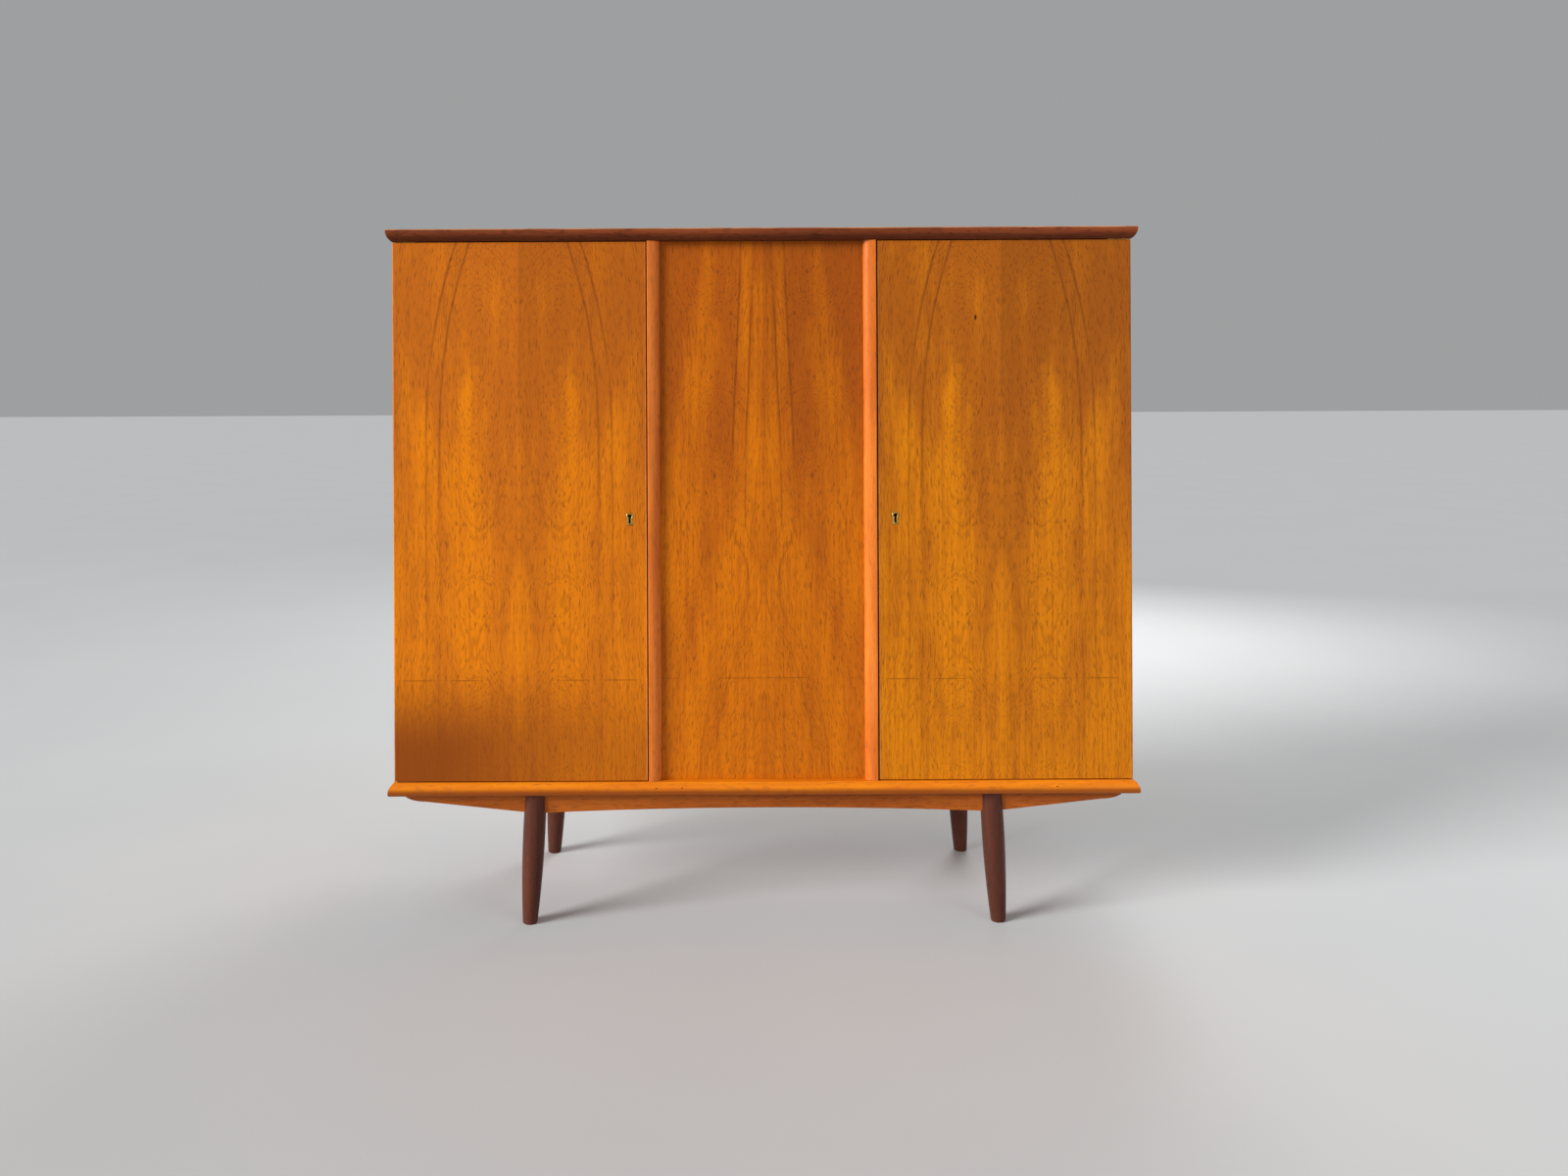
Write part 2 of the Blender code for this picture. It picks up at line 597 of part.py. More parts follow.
def make_door(side_name, sign):
    """A door slab with its lock mortise and the pocket for its escutcheon."""
    name = f"{side_name}_door"
    mesh, middle = box_mesh(
        name, span(sign * DOOR_INNER_OUT, sign * CASE_OUT), (DOOR_FRONT, DOOR_BACK),
        (DOOR_BOTTOM, DOOR_TOP))
    round_edges(mesh, DOOR_OUTER_RADIUS, 4, lambda spot: spot.x * sign > 0 and spot.y < 0)
    inner_edge = -(CASE_OUT - DOOR_INNER_OUT) / 2 + DOOR_ARRIS_RADIUS
    round_edges(mesh, DOOR_ARRIS_RADIUS, 2, lambda spot: spot.x * sign < inner_edge)
    back_corner = (CASE_OUT - DOOR_INNER_OUT) / 2 - DOOR_ARRIS_RADIUS
    round_edges(mesh, DOOR_ARRIS_RADIUS, 2, lambda spot: spot.x * sign > back_corner and spot.y > 0)
    door = add_piece(name, mesh, TEAK_VENEER, middle)
    edge = sign * DOOR_INNER_OUT
    half_plate_width = FORE_PLATE_WIDTH / 2 + GLUE_GAP
    half_plate_height = FORE_PLATE_HEIGHT / 2 + GLUE_GAP
    cut_block(
        door, "fore_plate_recess",
        span(edge - sign * DOOR_POST_GAP, edge + sign * (FORE_PLATE_THICKNESS + GLUE_GAP)),
        (DOOR_MIDDLE - half_plate_width, DOOR_MIDDLE + half_plate_width),
        (LOCK_HEIGHT - half_plate_height, LOCK_HEIGHT + half_plate_height))
    half_case = CASE_HALF_THICKNESS + GLUE_GAP
    half_height = LOCK_CASE_HEIGHT / 2 + GLUE_GAP
    cut_block(
        door, "lock_mortise", span(edge, edge + sign * (LOCK_CASE_LENGTH + GLUE_GAP)),
        (DOOR_MIDDLE - half_case, DOOR_MIDDLE + half_case),
        (LOCK_HEIGHT - half_height, LOCK_HEIGHT + half_height))
    name = f"{side_name}_escutcheon"
    recess = plate_mesh(f"{name}_recess", [escutcheon_outline(GLUE_GAP)], 2 * (DOOR_WALL + OVERCUT))
    place = (sign * KEYHOLE_OUT, DOOR_FRONT, KEYHOLE_HEIGHT)
    apply_boolean(door, add_cutter(f"{name}_recess", recess, place, FACING_FRONT))
    return door


def make_escutcheon(side_name, sign):
    """The brass keyhole lining, let into the door and a little proud of it."""
    name = f"{side_name}_escutcheon"
    thickness = DOOR_WALL - GLUE_GAP + ESCUTCHEON_PROUD
    mesh = plate_mesh(name, [escutcheon_outline(0.0), keyhole_outline()], thickness)
    middle = (sign * KEYHOLE_OUT, DOOR_FRONT - ESCUTCHEON_PROUD + thickness / 2, KEYHOLE_HEIGHT)
    return add_piece(name, mesh, BRASS, middle, FACING_FRONT)


def make_lock(side_name, sign):
    """The mortised lock: a case joined to its fore-plate, and the bolt that slides in it."""
    edge = sign * DOOR_INNER_OUT
    case = block(
        f"{side_name}_lock_case",
        span(edge + sign * FORE_PLATE_THICKNESS / 2, edge + sign * LOCK_CASE_LENGTH),
        (DOOR_MIDDLE - CASE_HALF_THICKNESS, DOOR_MIDDLE + CASE_HALF_THICKNESS),
        (LOCK_HEIGHT - LOCK_CASE_HEIGHT / 2, LOCK_HEIGHT + LOCK_CASE_HEIGHT / 2), STEEL)
    join_block(
        case, "fore_plate", span(edge, edge + sign * FORE_PLATE_THICKNESS),
        (DOOR_MIDDLE - FORE_PLATE_WIDTH / 2, DOOR_MIDDLE + FORE_PLATE_WIDTH / 2),
        (LOCK_HEIGHT - FORE_PLATE_HEIGHT / 2, LOCK_HEIGHT + FORE_PLATE_HEIGHT / 2))
    bolt_back = BOLT_REST_SETBACK + BOLT_LENGTH
    half_thickness = BOLT_THICKNESS / 2 + GLUE_GAP
    half_height = BOLT_HEIGHT / 2 + GLUE_GAP
    cut_block(
        case, "bolt_way", span(edge - sign * DOOR_POST_GAP, edge + sign * (bolt_back + GLUE_GAP)),
        (DOOR_MIDDLE - half_thickness, DOOR_MIDDLE + half_thickness),
        (LOCK_HEIGHT - half_height, LOCK_HEIGHT + half_height))
    keyhole = plate_mesh(f"{case.name}_keyhole", [keyhole_outline()], LOCK_CASE_THICKNESS)
    place = (sign * KEYHOLE_OUT, DOOR_MIDDLE - CASE_HALF_THICKNESS, KEYHOLE_HEIGHT)
    apply_boolean(case, add_cutter(f"{case.name}_keyhole", keyhole, place, FACING_FRONT))
    bolt = block(
        f"{side_name}_lock_bolt", span(edge + sign * BOLT_REST_SETBACK, edge + sign * bolt_back),
        (DOOR_MIDDLE - BOLT_THICKNESS / 2, DOOR_MIDDLE + BOLT_THICKNESS / 2),
        (LOCK_HEIGHT - BOLT_HEIGHT / 2, LOCK_HEIGHT + BOLT_HEIGHT / 2), BRASS)
    return case, bolt


def hang(pivot_name, place, pieces):
    """Parent a door's pieces to an empty on its hinge axis, leaving them where they are."""
    pivot = bpy.data.objects.new(pivot_name, None)
    pivot.location = place
    WARDROBE.objects.link(pivot)
    for piece in pieces:
        piece.parent = pivot
        piece.matrix_parent_inverse = Matrix.Translation(place).inverted()


for side_name, sign in SIDES.items():
    door = make_door(side_name, sign)
    bottom_leaf = add_hinge(f"{side_name}_bottom", sign, door, sill_board, SILL_TOP, DOOR_BOTTOM, 1)
    top_leaf = add_hinge(f"{side_name}_top", sign, door, top_board, TOP_UNDERSIDE, DOOR_TOP, -1)
    hang(
        f"{side_name}_door_pivot", (sign * PIVOT_OUT, PIVOT_DEPTH, SILL_TOP),
        [door, bottom_leaf, top_leaf, make_escutcheon(side_name, sign), *make_lock(side_name, sign)])


# ---------------------------------------------------------------- shelves and hanging rail

ACROSS = (0.0, math.pi / 2, 0.0)
LEFT_BAY = (-CASE_INSIDE_OUT, PARTITION_LEFT)
SHELF_DEPTH = (POST_BACK + SHELF_FRONT_GAP, BACK_PANEL_FRONT - GLUE_GAP)
PIN_DEPTHS = (SHELF_DEPTH[0] + SHELF_PIN_FROM_ENDS, SHELF_DEPTH[1] - SHELF_PIN_FROM_ENDS)

for shelf_name, above_sill in SHELVES_ABOVE_SILL.items():
    shelf_top = SILL_TOP + above_sill
    block(
        f"{shelf_name}_shelf", (LEFT_BAY[0] + GLUE_GAP, LEFT_BAY[1] - GLUE_GAP), SHELF_DEPTH,
        (shelf_top - SHELF_THICKNESS, shelf_top), INSIDE_WOOD)
    pin_height = shelf_top - SHELF_THICKNESS - GLUE_GAP - SHELF_PIN_RADIUS
    pin_number = 0
    for wall, face, inwards in (
            (side_panels["left"], LEFT_BAY[0], 1), (partition, LEFT_BAY[1], -1)):
        for depth in PIN_DEPTHS:
            pin_number += 1
            name = f"{shelf_name}_shelf_pin_{pin_number}"
            length = SHELF_PIN_EMBED + SHELF_PIN_REACH
            middle = face + inwards * (length / 2 - SHELF_PIN_EMBED)
            add_piece(
                name, rod_mesh(name, SHELF_PIN_RADIUS, length, 16), BRASS,
                (middle, depth, pin_height), ACROSS)
            cut_hole(
                wall, name, SHELF_PIN_RADIUS + GLUE_GAP, 2 * (SHELF_PIN_EMBED + GLUE_GAP),
                (face, depth, pin_height), ACROSS)

SOCKET_PLACES = {"left": (PARTITION_RIGHT, 1), "right": (CASE_INSIDE_OUT, -1)}
for side_name, (wall_face, inwards) in SOCKET_PLACES.items():
    name = f"{side_name}_rail_socket"
    middle = wall_face + inwards * (GLUE_GAP + SOCKET_THICKNESS / 2)
    socket = add_piece(
        name, rod_mesh(name, SOCKET_RADIUS, SOCKET_THICKNESS, 32), BRASS,
        (middle, HANGING_RAIL_DEPTH, HANGING_RAIL_HEIGHT), ACROSS)
    cup_start = wall_face + inwards * (GLUE_GAP + SOCKET_FLOOR)
    cup_end = wall_face + inwards * 2 * SOCKET_THICKNESS
    cup_radius = HANGING_RAIL_RADIUS + GLUE_GAP
    cut_hole(
        socket, "cup", cup_radius, abs(cup_end - cup_start),
        ((cup_start + cup_end) / 2, HANGING_RAIL_DEPTH, HANGING_RAIL_HEIGHT), ACROSS, 32)
    cut_block(
        socket, "open_top", span(cup_start, cup_end),
        (HANGING_RAIL_DEPTH - cup_radius, HANGING_RAIL_DEPTH + cup_radius),
        (HANGING_RAIL_HEIGHT, HANGING_RAIL_HEIGHT + 2 * SOCKET_RADIUS))

RAIL_END_GAP = SOCKET_FLOOR + 2 * GLUE_GAP
RAIL_LENGTH = CASE_INSIDE_OUT - PARTITION_RIGHT - 2 * RAIL_END_GAP
add_piece(
    "hanging_rail", rod_mesh("hanging_rail", HANGING_RAIL_RADIUS, RAIL_LENGTH, 32), INSIDE_WOOD,
    ((CASE_INSIDE_OUT + PARTITION_RIGHT) / 2, HANGING_RAIL_DEPTH, HANGING_RAIL_HEIGHT), ACROSS)


# ---------------------------------------------------------------- base rails and legs

def front_rail_outline():
    """The front rail seen from the front: an arch between the legs and a tapering wing beyond each."""
    end_out = HALF_WIDTH - NOSE_REACH - WING_SETBACK
    round_start = end_out - WING_ROUND_LENGTH
    rise = RAIL_HEIGHT_AT_LEGS - RAIL_HEIGHT_AT_MIDDLE
    arch_radius = (LEG_OUT ** 2 + rise ** 2) / (2 * rise)
    half_angle = math.degrees(math.asin(LEG_OUT / arch_radius))
    arch = arc(
        (0.0, RAIL_TOP - RAIL_HEIGHT_AT_MIDDLE - arch_radius), (arch_radius, arch_radius),
        90 + half_angle, 90 - half_angle, ARCH_STEPS)
    right_wing = arc(
        (round_start, RAIL_TOP), (WING_ROUND_LENGTH, WING_HEIGHT), -90, WING_END_ANGLE, WING_STEPS)
    right_wing.append((end_out, RAIL_TOP))
    left_wing = [(-out, height) for out, height in reversed(right_wing)]
    return left_wing + arch + right_wing


RAIL_HALF = RAIL_THICKNESS / 2
front_rail_mesh = plate_mesh("front_rail", [front_rail_outline()], RAIL_THICKNESS)
round_edges(
    front_rail_mesh, RAIL_ARRIS_RADIUS, 2,
    lambda spot: abs(spot.z) > RAIL_HALF - GLUE_GAP and spot.y < RAIL_TOP - RAIL_ARRIS_RADIUS)
add_piece("front_rail", front_rail_mesh, SOLID_TEAK, (0.0, FRONT_RAIL_DEPTH, 0.0), FACING_FRONT)
BACK_RAIL_OUT = LEG_OUT + BACK_RAIL_BEYOND_LEG
block(
    "back_rail", (-BACK_RAIL_OUT, BACK_RAIL_OUT),
    (BACK_RAIL_DEPTH - RAIL_HALF, BACK_RAIL_DEPTH + RAIL_HALF),
    (RAIL_TOP - RAIL_HEIGHT_AT_LEGS, RAIL_TOP), SOLID_TEAK)
CROSS_RAIL_OUT = LEG_OUT - CROSS_RAIL_FROM_LEG
for side_name, sign in SIDES.items():
    block(
        f"{side_name}_cross_rail",
        (sign * CROSS_RAIL_OUT - RAIL_HALF, sign * CROSS_RAIL_OUT + RAIL_HALF),
        (FRONT_RAIL_DEPTH + RAIL_HALF + GLUE_GAP, BACK_RAIL_DEPTH - RAIL_HALF - GLUE_GAP),
        (RAIL_TOP - CROSS_RAIL_HEIGHT, RAIL_TOP), INSIDE_WOOD)

LEG_SLANT_LENGTH = math.sqrt(BASE_HEIGHT ** 2 + 2 * LEG_SPLAY ** 2)


def leg_profile():
    """(radius, height) points of a leg, top to bottom: a slow swelling over a slim, rounded foot."""
    points = [(0.0, LEG_SLANT_LENGTH + LEG_FOOT_ROUND)]
    for step in range(LEG_PROFILE_STEPS + 1):
        share = 1 - step / LEG_PROFILE_STEPS
        height = LEG_FOOT_ROUND + share * LEG_SLANT_LENGTH
        away = (height - LEG_BELLY_HEIGHT) / LEG_BELLY_HEIGHT
        points.append((LEG_BELLY_RADIUS - (LEG_BELLY_RADIUS - LEG_FOOT_RADIUS) * away ** 2, height))
    foot_radius = points[-1][0]
    points += arc(
        (foot_radius - LEG_FOOT_ROUND, LEG_FOOT_ROUND), (LEG_FOOT_ROUND, LEG_FOOT_ROUND), -30, -90, 2)
    points.append((0.0, 0.0))
    return points


def add_leg(name, sign, facing, rail_depth):
    """A splayed leg, slotted over its rail, trimmed level under the sill board and at the floor."""
    foot = Vector((sign * (LEG_OUT + LEG_SPLAY), rail_depth + facing * LEG_SPLAY, 0.0))
    top = Vector((sign * LEG_OUT, rail_depth, BASE_HEIGHT))
    lean = (top - foot).to_track_quat("Z", "Y").to_euler()
    below_floor = (top - foot).normalized() * LEG_FOOT_ROUND / 4
    leg = turned_piece(name, leg_profile(), LEG_SIDES, DARK_LEG, foot - below_floor, lean)
    around = (
        (top.x - TRIM_REACH, top.x + TRIM_REACH), (rail_depth - TRIM_REACH, rail_depth + TRIM_REACH))
    cut_block(leg, "level_top", *around, (RAIL_TOP, RAIL_TOP + TRIM_REACH))
    cut_block(leg, "level_foot", *around, (-TRIM_REACH, 0.0))
    half_slot = RAIL_HALF + GLUE_GAP
    cut_block(
        leg, "rail_slot", around[0], (rail_depth - half_slot, rail_depth + half_slot),
        (RAIL_TOP - RAIL_HEIGHT_AT_LEGS - GLUE_GAP, RAIL_TOP + TRIM_REACH))


for side_name, sign in SIDES.items():
    add_leg(f"front_{side_name}_leg", sign, -1, FRONT_RAIL_DEPTH)
    add_leg(f"back_{side_name}_leg", sign, 1, BACK_RAIL_DEPTH)
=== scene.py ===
# %% [markdown]
# # A two-door teak wardrobe
# This wardrobe is a case of veneered boards between a top board and a sill board, with two doors on pivot
# hinges, a fixed panel between two rounded posts, and a base of shaped rails on four turned legs. The
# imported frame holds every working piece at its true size, so this lesson starts by loading it. Its pieces
# keep their shapes, and what the lesson adds is their finishes and the small brass, steel and filler pieces.

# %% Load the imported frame
import math

import bmesh
import bpy
from mathutils import Matrix, Vector


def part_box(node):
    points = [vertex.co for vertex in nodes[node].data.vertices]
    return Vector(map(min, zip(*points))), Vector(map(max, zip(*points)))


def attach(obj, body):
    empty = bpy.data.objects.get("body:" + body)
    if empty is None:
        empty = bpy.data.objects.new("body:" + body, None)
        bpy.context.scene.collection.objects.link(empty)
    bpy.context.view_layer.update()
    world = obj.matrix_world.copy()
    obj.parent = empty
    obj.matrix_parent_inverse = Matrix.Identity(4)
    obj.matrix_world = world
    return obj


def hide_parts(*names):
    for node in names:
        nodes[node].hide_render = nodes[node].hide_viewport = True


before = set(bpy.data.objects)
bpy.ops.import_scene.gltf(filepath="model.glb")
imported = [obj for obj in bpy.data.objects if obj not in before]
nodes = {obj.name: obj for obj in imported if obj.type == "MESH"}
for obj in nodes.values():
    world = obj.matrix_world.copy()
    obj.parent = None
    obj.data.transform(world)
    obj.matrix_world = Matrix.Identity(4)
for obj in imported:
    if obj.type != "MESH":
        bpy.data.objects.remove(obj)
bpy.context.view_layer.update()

# %% [markdown]
# ## The camera
# The wardrobe is seen square on from a little over a metre up, with a wide lens. A level camera keeps the
# uprights upright, so the framing comes from lens shift, the way a view camera is raised, and not from
# tilting. Tilting would be quicker but would make the sides lean together.

# %% Camera
LENS_MM = 27.0
SENSOR_MM = 36.0
CAMERA_PLACE = (-0.1062, -2.8355, 1.1712)
CAMERA_ROLL = math.radians(0.266)
LENS_SHIFT = (0.0448, -0.125)

camera_data = bpy.data.cameras.new("view_camera")
camera_data.lens = LENS_MM
camera_data.sensor_width = SENSOR_MM
camera_data.shift_x, camera_data.shift_y = LENS_SHIFT
camera = bpy.data.objects.new("view_camera", camera_data)
camera.location = CAMERA_PLACE
camera.rotation_euler = (math.radians(90), CAMERA_ROLL, 0)
bpy.context.scene.collection.objects.link(camera)
bpy.context.scene.camera = camera
print(f"camera {CAMERA_PLACE[2]:.2f} m up, {LENS_MM:.0f} mm lens")

# %% [markdown]
# ## Colours and nodes
# Colour pickers and paint charts give sRGB, but the renderer adds light in linear values, so one function
# turns a hex colour to linear. A second small function adds any node with its settings and links, so that
# a finish reads as a list of steps and no kind of node needs a function of its own.

# %% Two helpers for every finish
def linear(code):
    """The linear colour of an sRGB hex code."""
    channels = [int(code[start:start + 2], 16) / 255 for start in (1, 3, 5)]
    turned = [c / 12.92 if c <= 0.04045 else ((c + 0.055) / 1.055) ** 2.4 for c in channels]
    return (*turned, 1.0)


def add(tree, kind, inputs=(), output=None, **settings):
    """Add a node with attributes, and values or links by input name or in order. Gives it or one output."""
    made = tree.nodes.new(kind)
    for name, value in settings.items():
        setattr(made, name, value)
    for key, value in inputs.items() if isinstance(inputs, dict) else enumerate(inputs):
        if isinstance(value, bpy.types.NodeSocket):
            tree.links.new(value, made.inputs[key])
        else:
            made.inputs[key].default_value = value
    return made if output is None else made.outputs[output]


print("oiled teak mid tone, linear:", [round(value, 3) for value in linear("#C8641A")[:3]])

# %% [markdown]
# ## Light and floor
# A plain studio. The main light comes from the upper left through a very wide diffuser, since the posts and
# the left-hand arrises of the real piece are the bright ones. A sun lamp with a wide angle does that and
# lights the floor evenly, where a nearby lamp would leave a pool. A weaker light stands to the right, and one
# behind so that the back isn't black. The standard view transform keeps the oiled orange as strong as it
# looks by eye; a filmic one would wash it out.

# %% Studio light and floor
LIGHTS = {
    # name: kind, place, width (degrees for a sun, metres for a panel), strength
    "key_light": ("SUN", (-4.2, -2.1, 2.5), 24, 4.0),
    "fill_light": ("AREA", (3.0, -3.4, 1.6), 2.4, 20),
    "back_light": ("AREA", (1.4, 3.4, 2.6), 2.4, 80),
}
AIM = Vector((0.0, 0.0, 0.8))
FLOOR_SIZE = 120.0
ROOM_GLOW = 0.42

for name, (kind, place, width, strength) in LIGHTS.items():
    data = bpy.data.lights.new(name, kind)
    if kind == "SUN":
        data.angle = math.radians(width)
    else:
        data.shape = "DISK"
        data.size = width
    data.energy = strength
    lamp = bpy.data.objects.new(name, data)
    lamp.location = place
    lamp.rotation_euler = (AIM - Vector(place)).to_track_quat("-Z", "Y").to_euler()
    bpy.context.scene.collection.objects.link(lamp)

world = bpy.data.worlds.new("pale_room")
world.use_nodes = True
sky = world.node_tree.nodes["Background"]
sky.inputs["Color"].default_value = linear("#E9EBEC")
sky.inputs["Strength"].default_value = ROOM_GLOW
bpy.context.scene.world = world
bpy.context.scene.view_settings.view_transform = "Standard"

floor_shape = bmesh.new()
bmesh.ops.create_grid(floor_shape, x_segments=1, y_segments=1, size=FLOOR_SIZE / 2)
floor_mesh = bpy.data.meshes.new("studio_floor")
floor_shape.to_mesh(floor_mesh)
floor_shape.free()
floor = bpy.data.objects.new("studio_floor", floor_mesh)
bpy.context.scene.collection.objects.link(floor)
print(f"{len(LIGHTS)} lights over a floor {FLOOR_SIZE:.0f} m across")

# %% [markdown]
# The floor is board rolled with a matt emulsion paint. The fine chalky filler in it scatters light, so the
# eye sees a soft shadow and no reflection. A faint drift of tone keeps it from looking printed.

# %% Floor finish
FLOOR_PATCH_MM = 667
floor_paint = bpy.data.materials.new("matt_pale_paint")
floor_paint.use_nodes = True
floor_tree = floor_paint.node_tree
paint = floor_tree.nodes["Principled BSDF"]
paint.inputs["Roughness"].default_value = 0.9
paint.inputs["Specular IOR Level"].default_value = 0.2
floor_place = add(floor_tree, "ShaderNodeTexCoord", output="Object")
floor_tone = add(floor_tree, "ShaderNodeTexNoise", {
    "Vector": floor_place, "Scale": 1000 / FLOOR_PATCH_MM, "Detail": 4.0}, "Fac")
floor_colour = add(floor_tree, "ShaderNodeMix", {
    "Factor": floor_tone, "A": linear("#CDCFD0"), "B": linear("#D5D6D6")}, "Result", data_type="RGBA")
floor_tree.links.new(floor_colour, paint.inputs["Base Color"])
floor_mesh.materials.append(floor_paint)
print("floor finish:", floor_paint.name)

# %% [markdown]
# ## How wood gets its figure
# A tree grows a cone of wood round itself each year, so any cut face shows slices through nested cones. If
# the cut runs close to the heart, the slices close into ovals and arches; far from it, they are near-straight
# lines. So the figure doesn't need to be drawn. It is enough to say, for each height along the board, how far
# the heart lies to the side and how deep it is under the face. The distance to the heart, divided by the ring
# width, gives the ring, and wobbling it with noise makes it grow unevenly.
#
# Veneer is sliced, and two slices that lie together in the pack are opened like a book, which is what makes
# the mirrored eyes on each door. Folding the sideways distance at the seam does the same here, for the rings
# and for the pores. Teak's pores are open and dark and run with the grain. Real ones are about 0.3 mm across,
# too fine to show, so they are drawn 2 to 3 mm wide.
#
# The alternative, a wave texture bent by noise, is quicker to set up, but its lines never close into ovals
# and it gives the same figure on the face and the edge of a board.

# %% The shape of a veneer leaf's heart line
DOOR_LEAF = {
    # (height, value): distance of the heart from the seam, its depth, and the inner of two dark veins
    "side": [(0.31, 0.095), (0.72, 0.098), (1.00, 0.092), (1.26, 0.088), (1.51, 0.092)],
    "depth": [(0.31, 0.050), (0.40, 0.022), (0.50, 0.062), (0.64, 0.090), (0.72, 0.080),
              (0.80, 0.094), (0.92, 0.078), (1.04, 0.060), (1.12, 0.036), (1.20, 0.013),
              (1.257, 0.006), (1.32, 0.018), (1.40, 0.048), (1.51, 0.088)],
    "vein": [(0.31, 0.182), (0.70, 0.176), (1.07, 0.175), (1.27, 0.163), (1.42, 0.132), (1.51, 0.106)],
}
PANEL_LEAF = {
    "side": [(0.31, 0.245), (0.45, 0.205), (0.60, 0.160), (0.75, 0.128), (0.90, 0.108), (1.51, 0.104)],
    "depth": [(0.31, 0.034), (0.60, 0.040), (0.85, 0.062), (0.98, 0.040), (1.09, 0.012),
              (1.20, 0.070), (1.30, 0.074), (1.40, 0.040), (1.45, 0.016), (1.51, 0.006)],
    "vein": [(0.31, 0.118), (0.45, 0.098), (0.60, 0.060), (0.744, 0.004), (0.90, 0.040), (1.51, 0.018)],
}
HEIGHT_RANGE = (0.31, 1.51)
DEPTH_SCALE = 0.25
print(f"door leaf given at {len(DOOR_LEAF['depth'])} heights, panel leaf at {len(PANEL_LEAF['depth'])}")

# %% [markdown]
# ## One recipe for every piece of wood
# Teak, beech and maple differ in colour, ring width and pore size, and not in how they are built, so one
# recipe takes those as arguments. A finish of oil soaks in and leaves the pores open: the surface is satin,
# the pores are rougher than the wood between them, and the reflection is weak. The recipe is long, so it is
# given in steps, one for each thing that wood does. The first is to say where a point lies on its board:
# along the grain, to the side and into the depth. On veneer the side is measured from the seam, both ways.

# %% Where a point lies on its board
MATH, RANGE, NOISE = "ShaderNodeMath", "ShaderNodeMapRange", "ShaderNodeTexNoise"
SCALE_AND_SHIFT = "ShaderNodeVectorMath"


def lay_out(tree, grain, across, deep, seam):
    """The place and the facing of a point, as outputs that the later steps share."""
    coordinates = add(tree, "ShaderNodeTexCoord")
    place = add(tree, "ShaderNodeSeparateXYZ", (coordinates.outputs["Object"],))
    facing = add(tree, "ShaderNodeSeparateXYZ", (coordinates.outputs["Normal"],))
    along, side, depth = (place.outputs[axis] for axis in (grain, across, deep))
    other_leaf = None
    if seam is not None:
        from_seam = add(tree, MATH, (side, seam), 0, operation="SUBTRACT")
        other_leaf = add(tree, MATH, (from_seam, 0.0), 0, operation="GREATER_THAN")
        side = add(tree, MATH, (from_seam,), 0, operation="ABSOLUTE")
    board = add(tree, "ShaderNodeCombineXYZ", (side, depth, along), 0)
    return dict(place=place.outputs, facing=facing.outputs, along=along, side=side, depth=depth,
                across=place.outputs[across], other_leaf=other_leaf, board=board)


print("step ready: place on the board")

# %% [markdown]
# Wood is uneven at several sizes at once: rings sway over hand widths and wobble over finger widths, colour
# drifts in long patches, and fine streaks follow the fibres. Each is a noise stretched along the grain. They
# differ only in size, detail and shift, so they come from one table, with the sizes in millimetres.

# %% Unevenness of the wood
UNEVENNESS = {
    # name: size of a patch in millimetres to the side, in depth and along the grain; detail; shift
    "sway": ((125.0, 125.0, 312.5), 2.0, 0.0),
    "drift": ((125.0, 125.0, 312.5), 2.0, 7.3),
    "wobble": ((16.67, 16.67, 111.1), 2.0, 3.1),
    "streaks": ((6.667, 6.667, 250.0), 3.0, 5.9),
    "mottle": ((62.5, 62.5, 384.6), 3.0, 9.4),
    "scratched": ((111.1, 111.1, 500.0), 3.0, 2.2),
    # highlighted: patches in the painted edge highlight
    "highlighted": ((45.45, 45.45, 83.33), 3.0, 4.4),
    "inner_vein": ((55.56, 55.56, 166.7), 3.0, 0.0),
    "outer_vein": ((55.56, 55.56, 166.7), 3.0, 2.61),
}
NOISE_ROUGHNESS = 0.55


def unevenness(tree, board, seed, names):
    """The named noises, each a factor from 0 to 1."""
    made = {}
    for name in names:
        sizes, detail, shift = UNEVENNESS[name]
        scales = tuple(1000 / size for size in sizes)
        spot = add(tree, SCALE_AND_SHIFT, (board, scales, (seed + shift, shift, -shift)), 0,
                   operation="MULTIPLY_ADD")
        made[name] = add(tree, NOISE, {"Vector": spot, "Scale": 1.0, "Detail": detail,
                                       "Roughness": NOISE_ROUGHNESS}, "Fac")
    return made


print(f"step ready: {len(UNEVENNESS)} kinds of unevenness")

# %% [markdown]
# A leaf's heart line is a set of heights and distances. A float curve node holds such a set and draws a
# smooth line through it. It works from 0 to 1, so heights and distances are brought into that range and the
# result is scaled back.

# %% Heart lines as curves
def heart_lines(tree, along, leaf):
    """The heart's distance to the side, its depth, and the inner vein's distance, at this height."""
    bottom, top = HEIGHT_RANGE
    share = add(tree, RANGE, (along, bottom, top), 0)
    lines = []
    for points in (leaf["side"], leaf["depth"], leaf["vein"]):
        curve = add(tree, "ShaderNodeFloatCurve", {"Value": share})
        spots = [((height - bottom) / (top - bottom), value / DEPTH_SCALE) for height, value in points]
        line = curve.mapping.curves[0]
        line.points[0].location, line.points[1].location = spots[0], spots[-1]
        for spot in spots[1:-1]:
            line.points.new(*spot)
        for point in line.points:
            point.handle_type = "AUTO_CLAMPED"
        curve.mapping.update()
        lines.append(add(tree, MATH, (curve.outputs[0], DEPTH_SCALE), 0, operation="MULTIPLY"))
    return lines


print("step ready: heart lines")

# %% [markdown]
# The rings are the distance to the heart, counted in ring widths. Each darkens slowly towards its late wood
# and ends sharply, and some years are dark and some hardly show, which a noise along the count gives.

# %% Growth rings
LATE_WOOD = (0.45, 0.92)
RING_END = (0.93, 1.0)
SWAY_MM = 14.0


